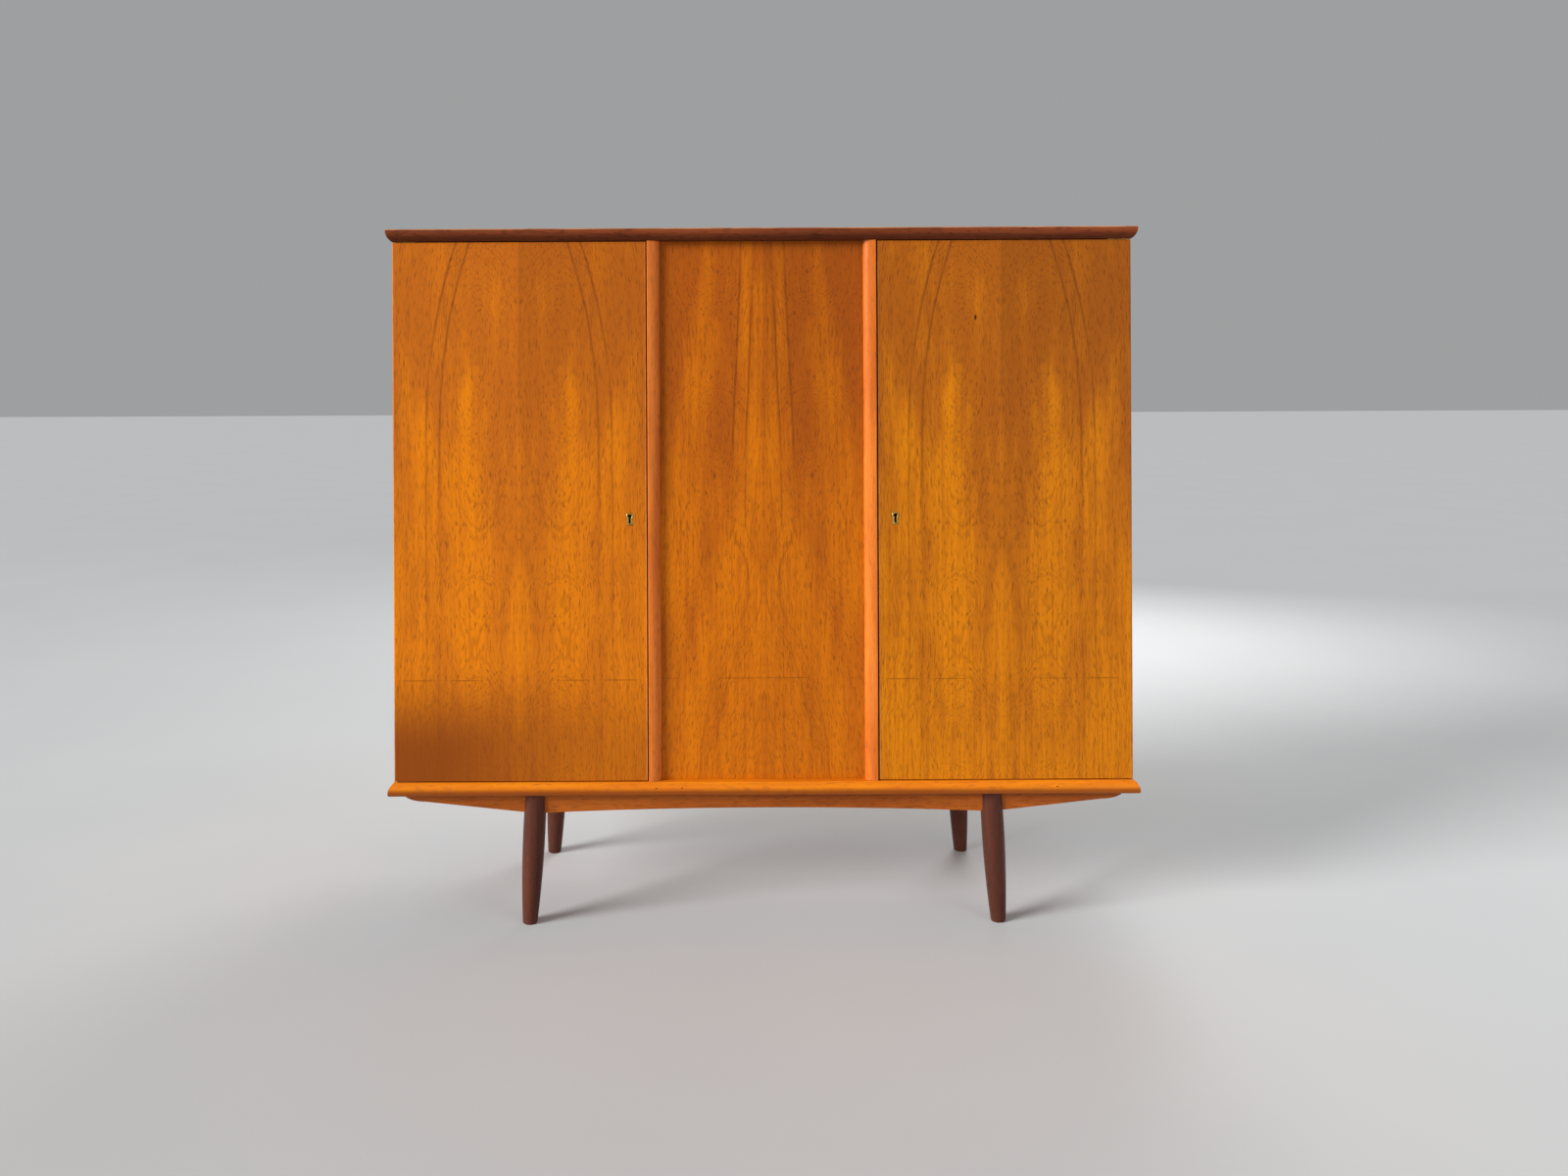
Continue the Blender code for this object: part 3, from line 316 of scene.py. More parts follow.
def growth_rings(tree, board, noises, heart, face, ring_mm):
    """The distance to the heart, how far through a ring this is, the dark ring line, and the sway."""
    heart_side, heart_depth = heart
    lean = {}
    for name in ("sway", "drift"):
        centred = add(tree, MATH, (noises[name], 0.5), 0, operation="SUBTRACT")
        lean[name] = add(tree, MATH, (centred, 2 * SWAY_MM / 1000), 0, operation="MULTIPLY")
    to_side = add(tree, MATH, (board["side"], heart_side), 0, operation="SUBTRACT")
    to_side = add(tree, MATH, (to_side, lean["sway"]), 0, operation="ADD")
    below_face = add(tree, MATH, (board["depth"], face), 0, operation="SUBTRACT")
    to_depth = add(tree, MATH, (below_face, heart_depth), 0, operation="ADD")
    to_depth = add(tree, MATH, (to_depth, lean["drift"]), 0, operation="ADD")
    side_squared = add(tree, MATH, (to_side, to_side), 0, operation="MULTIPLY")
    depth_squared = add(tree, MATH, (to_depth, to_depth), 0, operation="MULTIPLY")
    squared = add(tree, MATH, (side_squared, depth_squared), 0, operation="ADD")
    distance = add(tree, MATH, (squared,), 0, operation="SQRT")

    count = add(tree, MATH, (distance, ring_mm / 1000), 0, operation="DIVIDE")
    wobble = add(tree, MATH, (noises["wobble"], 0.9), 0, operation="MULTIPLY")
    count = add(tree, MATH, (count, wobble), 0, operation="ADD")
    step = add(tree, MATH, (count,), 0, operation="FRACT")
    late = add(tree, RANGE, (step, *LATE_WOOD, 0.0, 1.0), 0, interpolation_type="SMOOTHSTEP")
    end = add(tree, RANGE, (step, *RING_END, 1.0, 0.0), 0, interpolation_type="SMOOTHSTEP")
    year = add(tree, NOISE, {"W": count, "Scale": 0.42, "Detail": 1.0}, "Fac", noise_dimensions="1D")
    strength = add(tree, RANGE, (year, 0.46, 0.72, 0.08, 0.8), 0, interpolation_type="SMOOTHSTEP")
    line = add(tree, MATH, (late, end), 0, operation="MULTIPLY")
    line = add(tree, MATH, (line, strength), 0, operation="MULTIPLY")
    return distance, step, line, lean["sway"]


print("step ready: growth rings")

# %% [markdown]
# Two dark mineral veins run up each leaf of the doors, a thumb's width apart, and close over the eyes at the
# head. Each is a narrow band beside the vein's own line, broken up by noise and fading towards the foot.

# %% Dark veins
VEIN_SPACING = 0.029
VEIN_EDGE = (0.0006, 0.0042)


def dark_veins(tree, board, noises, vein_side, sway):
    """How much of a dark vein there is at a point."""
    bands = []
    for offset, name in ((0.0, "inner_vein"), (VEIN_SPACING, "outer_vein")):
        middle = add(tree, MATH, (vein_side, offset), 0, operation="ADD")
        away = add(tree, MATH, (board["side"], middle), 0, operation="SUBTRACT")
        lean = add(tree, MATH, (sway, 0.35), 0, operation="MULTIPLY")
        away = add(tree, MATH, (away, lean), 0, operation="ADD")
        away = add(tree, MATH, (away,), 0, operation="ABSOLUTE")
        band = add(tree, RANGE, (away, *VEIN_EDGE, 1.0, 0.0), 0, interpolation_type="SMOOTHSTEP")
        broken = add(tree, RANGE, (noises[name], 0.30, 0.60, 0.25, 1.0), 0,
                     interpolation_type="SMOOTHSTEP")
        bands.append(add(tree, MATH, (band, broken), 0, operation="MULTIPLY"))
    both = add(tree, MATH, bands, 0, operation="MAXIMUM")
    fading = add(tree, RANGE, (board["along"], 0.70, 1.15, 0.35, 1.0), 0,
                 interpolation_type="SMOOTHSTEP")
    return add(tree, MATH, (both, fading), 0, operation="MULTIPLY")


print("step ready: dark veins")

# %% [markdown]
# The pores are the cut ends and sides of vessels. They are laid out on the rings and not on the board, so
# that they flow round the eyes as the fibres do, and the early wood of each ring holds most of them. They
# are drawn about ten times as wide as real ones, which are too fine to show.

# %% Pores
PORE_SLENDERNESS = 8
PORE_SHIFT = 1.7


def open_pores(tree, board, distance, step, pore_mm, seed):
    """How much of a pore there is at a point. pore_mm is the drawn width."""
    wide = 1000 / pore_mm
    on_rings = add(tree, "ShaderNodeCombineXYZ", (distance, board["side"], board["along"]), 0)
    spot = add(tree, SCALE_AND_SHIFT, (
        on_rings, (wide, wide * 0.7, wide / PORE_SLENDERNESS), (seed + PORE_SHIFT, PORE_SHIFT, -PORE_SHIFT)),
        0, operation="MULTIPLY_ADD")
    cells = add(tree, NOISE, {"Vector": spot, "Scale": 1.0, "Detail": 3.0, "Roughness": NOISE_ROUGHNESS},
                "Fac")
    pores = add(tree, RANGE, (cells, 0.50, 0.66, 0.0, 1.0), 0, interpolation_type="SMOOTHSTEP")
    early = add(tree, RANGE, (step, 0.0, 0.55, 1.0, 0.45), 0, interpolation_type="SMOOTHSTEP")
    return add(tree, MATH, (pores, early), 0, operation="MULTIPLY")


print("step ready: pores")

# %% [markdown]
# Use leaves its own marks, and painted light goes in with them. Something once stood against the front and
# scratched a level line; below it the wood is darkened as painted shade. One door has a small pin knot.
# Edges get a painted highlight of pale wood, which shows only beside an edge, so a whole face that looks the
# same way is left alone. Each mark is given as masks to multiply and the tone that they let through.

# %% Marks of use, painted shade and painted edge highlight
SCRATCH_EDGE = (0.0006, 0.0020)
KNOT_HALF_WIDTH, KNOT_HALF_HEIGHT, KNOT_TONE = 0.0026, 0.0060, "#2A1208"
HIGHLIGHT_EDGE = (0.0030, 0.0006)


def mark_and_painted_shade_layers(tree, board, noises, height, shade, shade_from, dark, pore):
    """A scratched line at a height, and painted shade below it, strongest to the side of shade_from."""
    offset = add(tree, MATH, (board["along"], height), 0, operation="SUBTRACT")
    offset = add(tree, MATH, (offset,), 0, operation="ABSOLUTE")
    scratch = add(tree, RANGE, (offset, *SCRATCH_EDGE, 1.0, 0.0), 0, interpolation_type="SMOOTHSTEP")
    broken = add(tree, RANGE, (noises["scratched"], 0.42, 0.58, 0.0, 1.0), 0,
                 interpolation_type="SMOOTHSTEP")
    below = add(tree, RANGE, (board["along"], height - 0.16, height + 0.06, 1.0, 0.0), 0,
                interpolation_type="SMOOTHSTEP")
    beside = add(tree, RANGE, (board["across"], shade_from - 0.18, shade_from + 0.22, 1.0, 0.45), 0,
                 interpolation_type="SMOOTHSTEP")
    return [((scratch, broken, 0.42), pore), ((below, beside, shade), dark)]


def knot_layer(tree, board, knot_across, knot_height):
    """A pin knot, a little taller than wide."""
    squares = []
    for value, middle, half in ((board["across"], knot_across, KNOT_HALF_WIDTH),
                                (board["along"], knot_height, KNOT_HALF_HEIGHT)):
        away = add(tree, MATH, (value, middle), 0, operation="SUBTRACT")
        away = add(tree, MATH, (away, half), 0, operation="DIVIDE")
        squares.append(add(tree, MATH, (away, away), 0, operation="MULTIPLY"))
    spread = add(tree, MATH, squares, 0, operation="ADD")
    inside = add(tree, RANGE, (spread, 0.5, 1.5, 0.85, 0.0), 0, interpolation_type="SMOOTHSTEP")
    return (inside,), linear(KNOT_TONE)


def edge_highlight_layer(tree, board, noises, reach, highlight_strength, highlight_tone):
    """A painted highlight of pale wood along the edges that reach names: an axis, and its lowest and highest
    place.
    """
    highlighted = None
    for axis, (low, high) in reach.items():
        middle, half = (low + high) / 2, (high - low) / 2
        away = add(tree, MATH, (board["place"][axis], middle), 0, operation="SUBTRACT")
        away = add(tree, MATH, (away,), 0, operation="ABSOLUTE")
        near = add(tree, RANGE, (away, half - HIGHLIGHT_EDGE[0], half - HIGHLIGHT_EDGE[1], 0.0, 1.0), 0,
                   interpolation_type="SMOOTHSTEP")
        turned_away = add(tree, MATH, (board["facing"][axis],), 0, operation="ABSOLUTE")
        beside = add(tree, RANGE, (turned_away, 0.55, 0.95, 1.0, 0.0), 0,
                     interpolation_type="SMOOTHSTEP")
        edge = add(tree, MATH, (near, beside), 0, operation="MULTIPLY")
        highlighted = edge if highlighted is None else add(tree, MATH, (highlighted, edge), 0, operation="MAXIMUM")
    patchy = add(tree, RANGE, (noises["highlighted"], 0.35, 0.62, highlight_strength * 0.4, highlight_strength), 0,
                 interpolation_type="SMOOTHSTEP")
    return (highlighted, patchy), linear(highlight_tone)


print("step ready: old mark, knot, rubbed edges")

# %% [markdown]
# Oil gives a satin face that is a little duller where the wood is darker. The pores roughen it and dent it by
# half a millimetre, drawn deeper than real ones so that the light catches them.

# %% Satin face and relief
BUMP_STRENGTH, BUMP_DEPTH = 0.35, 0.0005


def oiled_face(tree, shader, mottle, pores, line, roughness):
    """Set the shader's roughness and normal from the wood's own pattern."""
    matt = add(tree, MATH, (pores, 0.22), 0, operation="MULTIPLY")
    satin = add(tree, RANGE, (mottle, 0.3, 0.7, roughness - 0.04, roughness + 0.05), 0,
                interpolation_type="SMOOTHSTEP")
    shine = add(tree, MATH, (matt, satin), 0, operation="ADD")
    tree.links.new(shine, shader.inputs["Roughness"])
    pore_dent = add(tree, MATH, (pores, 0.8), 0, operation="MULTIPLY")
    ring_dent = add(tree, MATH, (line, 0.15), 0, operation="MULTIPLY")
    dents = add(tree, MATH, (pore_dent, ring_dent), 0, operation="ADD")
    relief = add(tree, MATH, (1.0, dents), 0, operation="SUBTRACT")
    bump = add(tree, "ShaderNodeBump", {
        "Height": relief, "Strength": BUMP_STRENGTH, "Distance": BUMP_DEPTH}, 0)
    tree.links.new(bump, shader.inputs["Normal"])


print("step ready: satin face")

# %% [markdown]
# The last step puts the tones on, from the widest patches to the smallest marks. Every layer is a tone and
# the masks that it shows through, so one loop mixes them all in order. A rise leans the patches darker
# towards the top, and on veneer the second leaf is darker, most of all at the head: both are painted shade.

# %% The wood recipe
MIDDLE_HEIGHT, HEAD_HEIGHT = 0.95, 1.40
OTHER_LEAF_PAINTED_SHADE = (0.10, 0.30)


def wood(name, tones, grain="Z", across="X", deep="Y", ring_mm=5.0, pore_mm=2.8, heart=(0.12, 0.05),
         leaf=None, seam=None, face=0.0, seed=0.0, pore_depth=0.62, ring_depth=0.42, roughness=0.40,
         gloss=0.18, rise=0.0, painted_shade_under=None, mark_and_painted_shade=None, knot=None, reach=None, highlight_strength=0.8,
         highlight_tone="#F0A860"):
    """An oiled wood. tones are the hex colours light, middle, ring line and pore."""
    material = bpy.data.materials.new(name)
    material.use_nodes = True
    tree = material.node_tree
    shader = tree.nodes["Principled BSDF"]
    shader.inputs["Specular IOR Level"].default_value = gloss
    shader.inputs["IOR"].default_value = 1.5
    light, middle, dark, pore = (linear(tone) for tone in tones)

    board = lay_out(tree, grain, across, deep, seam)
    wanted = ["sway", "drift", "wobble", "streaks", "mottle"]
    wanted += ["inner_vein", "outer_vein"] if leaf else []
    wanted += ["scratched"] if mark_and_painted_shade else []
    wanted += ["highlighted"] if reach else []
    noises = unevenness(tree, board["board"], seed, wanted)
    if leaf:
        *heart, vein_side = heart_lines(tree, board["along"], leaf)
    distance, step, line, sway = growth_rings(tree, board, noises, heart, face, ring_mm)
    pores = open_pores(tree, board, distance, step, pore_mm, seed)

    mottle = noises["mottle"]
    # painted shade: the patches lean darker towards the top
    if rise:
        above = add(tree, MATH, (board["along"], MIDDLE_HEIGHT), 0, operation="SUBTRACT")
        above = add(tree, MATH, (above, rise), 0, operation="MULTIPLY")
        mottle = add(tree, MATH, (mottle, above), 0, operation="ADD")
    patches = add(tree, RANGE, (mottle, 0.32, 0.70, 0.0, 1.0), 0, interpolation_type="SMOOTHSTEP")
    streaks = add(tree, RANGE, (noises["streaks"], 0.42, 0.66, 0.0, 1.0), 0,
                  interpolation_type="SMOOTHSTEP")
    layers = [((patches,), middle), ((streaks, 0.42), middle)]
    # painted shade on the second leaf, growing towards the head
    if seam is not None:
        towards_top = add(tree, RANGE, (board["along"], MIDDLE_HEIGHT, HEAD_HEIGHT, *OTHER_LEAF_PAINTED_SHADE), 0,
                          interpolation_type="SMOOTHSTEP")
        layers.append(((board["other_leaf"], towards_top), dark))
    layers.append(((line, ring_depth), dark))
    if leaf:
        layers.append(((dark_veins(tree, board, noises, vein_side, sway), 0.62), dark))
    layers.append(((pores, pore_depth), pore))
    # painted shade on faces that look down
    if painted_shade_under:
        low, high, amount = painted_shade_under
        under = add(tree, RANGE, (board["facing"]["Z"], low, high, amount, 0.0), 0,
                    interpolation_type="SMOOTHSTEP")
        layers.append(((under,), pore))
    # the scratched line, and painted shade below it
    if mark_and_painted_shade:
        layers += mark_and_painted_shade_layers(tree, board, noises, *mark_and_painted_shade, dark, pore)
    if knot:
        layers.append(knot_layer(tree, board, *knot))
    # painted highlight of pale wood along the edges
    if reach:
        layers.append(edge_highlight_layer(tree, board, noises, reach, highlight_strength, highlight_tone))

    colour = light
    for masks, tone in layers:
        factor = masks[0]
        for mask in masks[1:]:
            factor = add(tree, MATH, (factor, mask), 0, operation="MULTIPLY")
        colour = add(tree, "ShaderNodeMix", {"Factor": factor, "A": colour, "B": tone}, "Result",
                     data_type="RGBA")
    tree.links.new(colour, shader.inputs["Base Color"])
    oiled_face(tree, shader, mottle, pores, line, roughness)
    return material


print("wood recipe ready: rings, veins, pores, streaks, mottle, marks, bump")

# %% [markdown]
# ## The doors and the middle panel
# Each door is a slab faced with two book-matched leaves of crown-cut teak. The two doors were faced from
# neighbouring slices of one log, so they show nearly the same figure, and a small change of seed gives the
# second its own character. The left one has kept a warm orange; the right one is browner. The middle panel
# has leaves from another log, redder, with a flame that opens towards the foot. A faint mark runs across all
# three at the same height, where something once stood against them. Sliced teak that has been sanded and
# oiled is a warm orange brown with a satin face: the eye gets long soft patches, fine dark pores and hardly
# any reflection.

# %% Teak veneer
MARK_HEIGHT = 0.538
RIGHT_KNOT = (0.4705, 1.333)
# rise darkens each leaf towards the top, as painted shade
veneers = {
    # the left door darkens below its mark, most to the left, as painted shade
    "left_door": dict(
        tones=("#E8820A", "#C26614", "#86400F", "#5A2A08"), leaf=DOOR_LEAF, seam=-0.5355, seed=0.0,
        rise=0.30, mark_and_painted_shade=(MARK_HEIGHT, 0.92, -0.56)),
    "right_door": dict(
        tones=("#D87E08", "#AA5A10", "#743A0A", "#4C2608"), leaf=DOOR_LEAF, seam=0.5275, seed=0.04,
        rise=0.32, mark_and_painted_shade=(MARK_HEIGHT, 0.0, 0.0), knot=RIGHT_KNOT),
    "centre_panel": dict(
        tones=("#D67408", "#AC540E", "#7E3A0C", "#522608"), leaf=PANEL_LEAF, seam=0.0027, seed=31.0,
        ring_mm=6.0, rise=0.24, mark_and_painted_shade=(MARK_HEIGHT, 0.0, 0.0)),
}
for piece, choices in veneers.items():
    low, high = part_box(piece)
    choices.update(face=low.y, gloss=0.10)
    # both doors get a painted highlight along their side edges
    if piece.endswith("door"):
        choices["reach"] = {"X": (low.x, high.x)}
    material = wood(f"oiled_teak_veneer_{piece}", **choices)
    nodes[piece].data.materials.clear()
    nodes[piece].data.materials.append(material)
    print(f"{piece}: {(high.x - low.x) * 1000:.0f} x {(high.z - low.z) * 1000:.0f} mm of veneer")

# %% [markdown]
# ## Solid teak, turned legs and inside woods
# The top and sill boards, posts and rails are solid teak with the grain along their length. The top board
# is given darker tones than the other teak as painted shade, and its faces that look down are darker still as
# painted shade, so its curved underside shows a deep red brown; its top edges carry a painted highlight of
# pale wood. The sill's upward curve is the brightest wood of all, and its steeper front is darkened as
# painted shade. The legs are turned beech, stained dark to match rosewood: the stain hides the rings, so the
# eye gets an even red black with a soft shine along the leg. The hanging rail is turned beech left pale. The
# shelves, the partition and the two cross rails are maple, whose pores hardly show, and the back is birch
# plywood, dry and matt. The side panels are faced with teak like the doors. Straight grain comes from the
# same recipe, with the heart far to one side of the board.

# %% Solid woods
top_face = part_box("top_board")[1].z
side_veneer = dict(
    tones=("#C2650F", "#A4500E", "#783A0C", "#50260A"), grain="Z", across="Y", deep="X",
    leaf=DOOR_LEAF, seam=0.02, gloss=0.10)
solids = {
    "oiled_teak_veneer_left_side": (["left_side_panel"], dict(
        side_veneer, face=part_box("left_side_panel")[0].x, seed=41.0)),
    "oiled_teak_veneer_right_side": (["right_side_panel"], dict(
        side_veneer, face=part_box("right_side_panel")[1].x, seed=43.0)),
    # darker tones and painted shade underneath as painted shade, with a painted highlight along the top edges
    "oiled_solid_teak_top": (["top_board"], dict(
        tones=("#8E4624", "#74361C", "#4C2010", "#2E1208"), grain="X", across="Y", deep="Z",
        heart=(0.06, -1.46), ring_mm=5.5, seed=3.0, painted_shade_under=(-0.60, -0.05, 0.55), roughness=0.50,
        gloss=0.08, reach={"Z": (-top_face, top_face)}, highlight_strength=1.0, highlight_tone="#E09A68")),
    # painted shade on the steeper front of the sill's curve
    "oiled_solid_teak_sill": (["sill_board"], dict(
        tones=("#F08C10", "#DC7410", "#A85010", "#7A360C"), grain="X", across="Y", deep="Z",
        heart=(0.10, -0.22), ring_mm=6.0, seed=11.0, painted_shade_under=(-0.02, 0.50, 0.85), roughness=0.34,
        pore_depth=0.30)),
    "oiled_solid_teak_posts": (["left_post", "right_post", "left_door_stop", "right_door_stop"], dict(
        tones=("#E67E2C", "#C8601C", "#924414", "#642C0C"), grain="Z", across="X", deep="Y",
        heart=(0.02, 0.34), ring_mm=5.0, seed=17.0, roughness=0.34, pore_depth=0.36)),
    "oiled_solid_teak_rails": (["front_rail", "back_rail"], dict(
        tones=("#B8601A", "#9A4A10", "#74340C", "#4A2008"), grain="X", across="Z", deep="Y",
        heart=(0.36, 0.30), ring_mm=5.5, seed=23.0, roughness=0.42)),
    "dark_stained_beech": (["front_left_leg", "front_right_leg", "back_left_leg", "back_right_leg"], dict(
        tones=("#663626", "#4E281C", "#341810", "#1E0D08"), grain="Z", across="X", deep="Y",
        heart=(0.02, 0.42), ring_mm=4.0, pore_mm=2.0, seed=47.0, roughness=0.30, pore_depth=0.35)),
    "maple_lining": (["partition", "lower_shelf", "middle_shelf", "upper_shelf",
                      "left_cross_rail", "right_cross_rail"], dict(
        tones=("#D9B27C", "#CBA06A", "#B08452", "#96703F"), grain="X", across="Y", deep="Z",
        heart=(0.30, 0.30), ring_mm=4.0, seed=53.0, pore_depth=0.20, ring_depth=0.30)),
    "turned_beech_rail": (["hanging_rail"], dict(
        tones=("#CFA06C", "#BE8C58", "#A07044", "#8A5C36"), grain="X", across="Y", deep="Z",
        heart=(0.10, -1.30), ring_mm=3.0, seed=59.0, pore_depth=0.25, ring_depth=0.30)),
    "birch_plywood": (["back_panel"], dict(
        tones=("#C9A172", "#BA9060", "#A07848", "#866238"), grain="Z", across="X", deep="Y",
        heart=(0.90, 0.40), ring_mm=9.0, seed=67.0, pore_depth=0.20, ring_depth=0.35, roughness=0.60)),
}
for name, (pieces, choices) in solids.items():
    material = wood(name, **choices)
    for piece in pieces:
        nodes[piece].data.materials.clear()
        nodes[piece].data.materials.append(material)
    print(f"{name}: {', '.join(pieces)}")

# %% [markdown]
# ## Brass and steel
# The escutcheons, hinge leaves and strike plates are brass that was polished once and has dulled: the metal
# keeps its yellow where fingers and keys rub it and browns in the hollows. The pins are plain bright
# steel. The lock cases are given a near-black steel as painted shade, so that the keyhole looks dark. All are
# metals all the way through, so the metallic value is one, and what varies over the surface is the tint and
# the roughness. The nails in the back are iron that has gone dull and brown. A metal has no colour but its
# reflection, so the eye gets small warm or cold glints that break up in the blotches.

# %% Metal finishes
def metal(name, bright, dull, roughness, blotch_mm):
    """A solid metal with a tarnish of blotches about blotch_mm across."""
    material = bpy.data.materials.new(name)
    material.use_nodes = True
    tree = material.node_tree
    shader = tree.nodes["Principled BSDF"]
    shader.inputs["Metallic"].default_value = 1.0
    spot = add(tree, "ShaderNodeTexCoord", output="Object")
    blotch = add(tree, NOISE, {
        "Vector": spot, "Scale": 1000 / blotch_mm, "Detail": 4.0, "Roughness": 0.6}, "Fac")
    fine = add(tree, NOISE, {"Vector": spot, "Scale": 6000 / blotch_mm, "Detail": 2.0}, "Fac")
    spread = add(tree, RANGE, (blotch, 0.35, 0.65), 0, interpolation_type="SMOOTHSTEP")
    tint = add(tree, "ShaderNodeMix", {"Factor": spread, "A": linear(bright), "B": linear(dull)}, "Result",
               data_type="RGBA")
    tree.links.new(tint, shader.inputs["Base Color"])
    rough = add(tree, RANGE, (blotch, 0.3, 0.7, roughness, roughness + 0.18), 0)
    tree.links.new(rough, shader.inputs["Roughness"])
    bump = add(tree, "ShaderNodeBump", {"Height": fine, "Strength": 0.08, "Distance": 0.0002}, 0)
    tree.links.new(bump, shader.inputs["Normal"])
    return material


print("metal recipe ready")

# %% Which piece is which metal
aged_brass = metal("aged_brass", "#E3BC62", "#A07A38", 0.24, 7.0)
bright_steel = metal("bright_steel", "#C4C4C2", "#8E8C88", 0.26, 12.0)
dull_iron = metal("dull_iron", "#6A625A", "#3E3630", 0.52, 3.0)
# near-black steel on the lock cases, as painted shade in the keyhole
keyhole_shade_steel = metal("keyhole_shade_steel", "#3A3632", "#1C1A18", 0.40, 9.0)
METAL_PIECES = {
    # part of a node's name: finish
    "_leaf": aged_brass, "_strike_plate": aged_brass, "_rail_socket": aged_brass, "_lock_bolt": aged_brass,
    "_escutcheon": aged_brass, "_shelf_pin_": aged_brass, "_hinge_pin": bright_steel,
    "_lock_case": keyhole_shade_steel,
}
for word, finish in METAL_PIECES.items():
    found = [piece for piece in nodes if word in piece]
    for piece in found:
        nodes[piece].data.materials.clear()
        nodes[piece].data.materials.append(finish)
    print(f"{finish.name}: {len(found)} of {word.strip('_')}")

# %% [markdown]
# ## Shading the curved pieces
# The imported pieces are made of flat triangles, which would show as facets on the turned legs and the rounded
# posts. Their meshes stay as they are, so the softening is a modifier: it welds the triangles, shades across
# every edge that is nearly flat, and keeps the true corners sharp. Without the weighted normals after it, a
# big flat door would pick up a false gradient from its narrow rounded edge.

# %% Smooth shading by angle
SHARP_ANGLE = math.radians(32)
WELD_DISTANCE = 0.000005
FACE_AREA_WEIGHT = 100

smoothing = bpy.data.node_groups.new("soft_shading", "GeometryNodeTree")
smoothing.interface.new_socket("Geometry", in_out="INPUT", socket_type="NodeSocketGeometry")
smoothing.interface.new_socket("Geometry", in_out="OUTPUT", socket_type="NodeSocketGeometry")
packed = add(smoothing, "NodeGroupInput", output=0)
welded = add(smoothing, "GeometryNodeMergeByDistance", {"Geometry": packed, "Distance": WELD_DISTANCE}, 0)
plain = add(smoothing, "GeometryNodeRemoveAttribute", {"Geometry": welded, "Name": "custom_normal"}, 0)
soft = add(smoothing, "GeometryNodeSetShadeSmooth", {"Geometry": plain, "Shade Smooth": True}, 0,
           domain="FACE")
angle = add(smoothing, "GeometryNodeInputMeshEdgeAngle", output="Unsigned Angle")
corner = add(smoothing, "FunctionNodeCompare", {"A": angle, "B": SHARP_ANGLE}, 0,
             data_type="FLOAT", operation="GREATER_THAN")
kept = add(smoothing, "GeometryNodeSetShadeSmooth", {
    "Geometry": soft, "Selection": corner, "Shade Smooth": False}, 0, domain="EDGE")
add(smoothing, "NodeGroupOutput", (kept,))


def soften(piece):
    """Smooth a piece's near-flat edges without touching its mesh."""
    piece.modifiers.new("soft_shading", "NODES").node_group = smoothing
    weighted = piece.modifiers.new("weighted_normals", "WEIGHTED_NORMAL")
    weighted.keep_sharp = True
    weighted.weight = FACE_AREA_WEIGHT


for node in nodes.values():
    soften(node)
print(f"{len(nodes)} pieces shaded smooth below {math.degrees(SHARP_ANGLE):.0f} degrees")

# %% [markdown]
# ## Helpers for the small pieces
# Screws, nails and fillers are too small to be working pieces, but a wardrobe without them looks moulded. A
# turned shape is spun from its outline, and several like it are merged into one object for each body, so
# that they swing with the door that they hold.

# %% Turned shapes and placing
def turned(shape, outline, place, facing, sides):
    """Spin (radius, height) points about the facing direction, standing on place, into a bmesh."""
    turn = Vector(facing).to_track_quat("Z", "Y").to_matrix().to_4x4()
    move = Matrix.Translation(place) @ turn
    rings = []
    for radius, height in outline:
        if radius == 0:
            rings.append([shape.verts.new(move @ Vector((0, 0, height)))])
        else:
            rings.append([
                shape.verts.new(move @ Vector((
                    radius * math.cos(math.tau * step / sides), radius * math.sin(math.tau * step / sides),
                    height)))
                for step in range(sides)])
    for lower, upper in zip(rings, rings[1:]):
        for step in range(sides):
            following = (step + 1) % sides
            corners = [lower[step % len(lower)], lower[following % len(lower)],
                       upper[following % len(upper)], upper[step % len(upper)]]
            shape.faces.new(list(dict.fromkeys(corners)))


def stand(name, shape, material, body):
    """Turn a bmesh into a shaded piece that rides on a body."""
    bmesh.ops.recalc_face_normals(shape, faces=shape.faces)
    mesh = bpy.data.meshes.new(name)
    shape.to_mesh(mesh)
    shape.free()
    mesh.materials.append(material)
    piece = bpy.data.objects.new(name, mesh)
    bpy.context.scene.collection.objects.link(piece)
    soften(piece)
    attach(piece, body)
    return piece


print("helpers ready: turned, stand")

# %% [markdown]
# ## Keyhole escutcheons
# A thread escutcheon is a keyhole-shaped ring pressed into the door. Its face is domed, so it catches a pale
# highlight on the upper left and goes olive on the right. It is built by walking round the outer outline and
# the keyhole together and lofting a rounded section between them, which a flat extruded plate, however
# polished, can't imitate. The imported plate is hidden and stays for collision.

# %% Escutcheon shape
HEAD_RADIUS, WAIST_HALF, FOOT_HALF = 7.9, 5.75, 6.75
RING_HEIGHT = 28.6
HOLE_RADIUS, HOLE_HALF, HOLE_LENGTH = 4.2, 2.4, 20.0
HEAD_STEPS, STEM_STEPS, FOOT_STEPS = 40, 10, 8
ROUND_STEPS = 10
RING_DOME_MM = 0.85


def keyhole_loop(radius, waist_half, foot_half, foot_height, head_height):
    """Points round a keyhole outline in millimetres: the head, down the stem, along the foot, and up."""
    start = -math.acos(waist_half / radius)
    points = []
    for step in range(HEAD_STEPS + 1):
        turn = start + (math.pi - 2 * start) * step / HEAD_STEPS
        points.append((radius * math.cos(turn), head_height + radius * math.sin(turn)))
    right_waist, left_waist = points[0], points[-1]
    corners = [left_waist, (-foot_half, foot_height), (foot_half, foot_height), right_waist]
    for (first, last), steps in zip(zip(corners, corners[1:]), (STEM_STEPS, FOOT_STEPS, STEM_STEPS)):
        for step in range(1, steps + 1):
            share = step / steps
            points.append(tuple(a + (b - a) * share for a, b in zip(first, last)))
    return points[:-1]


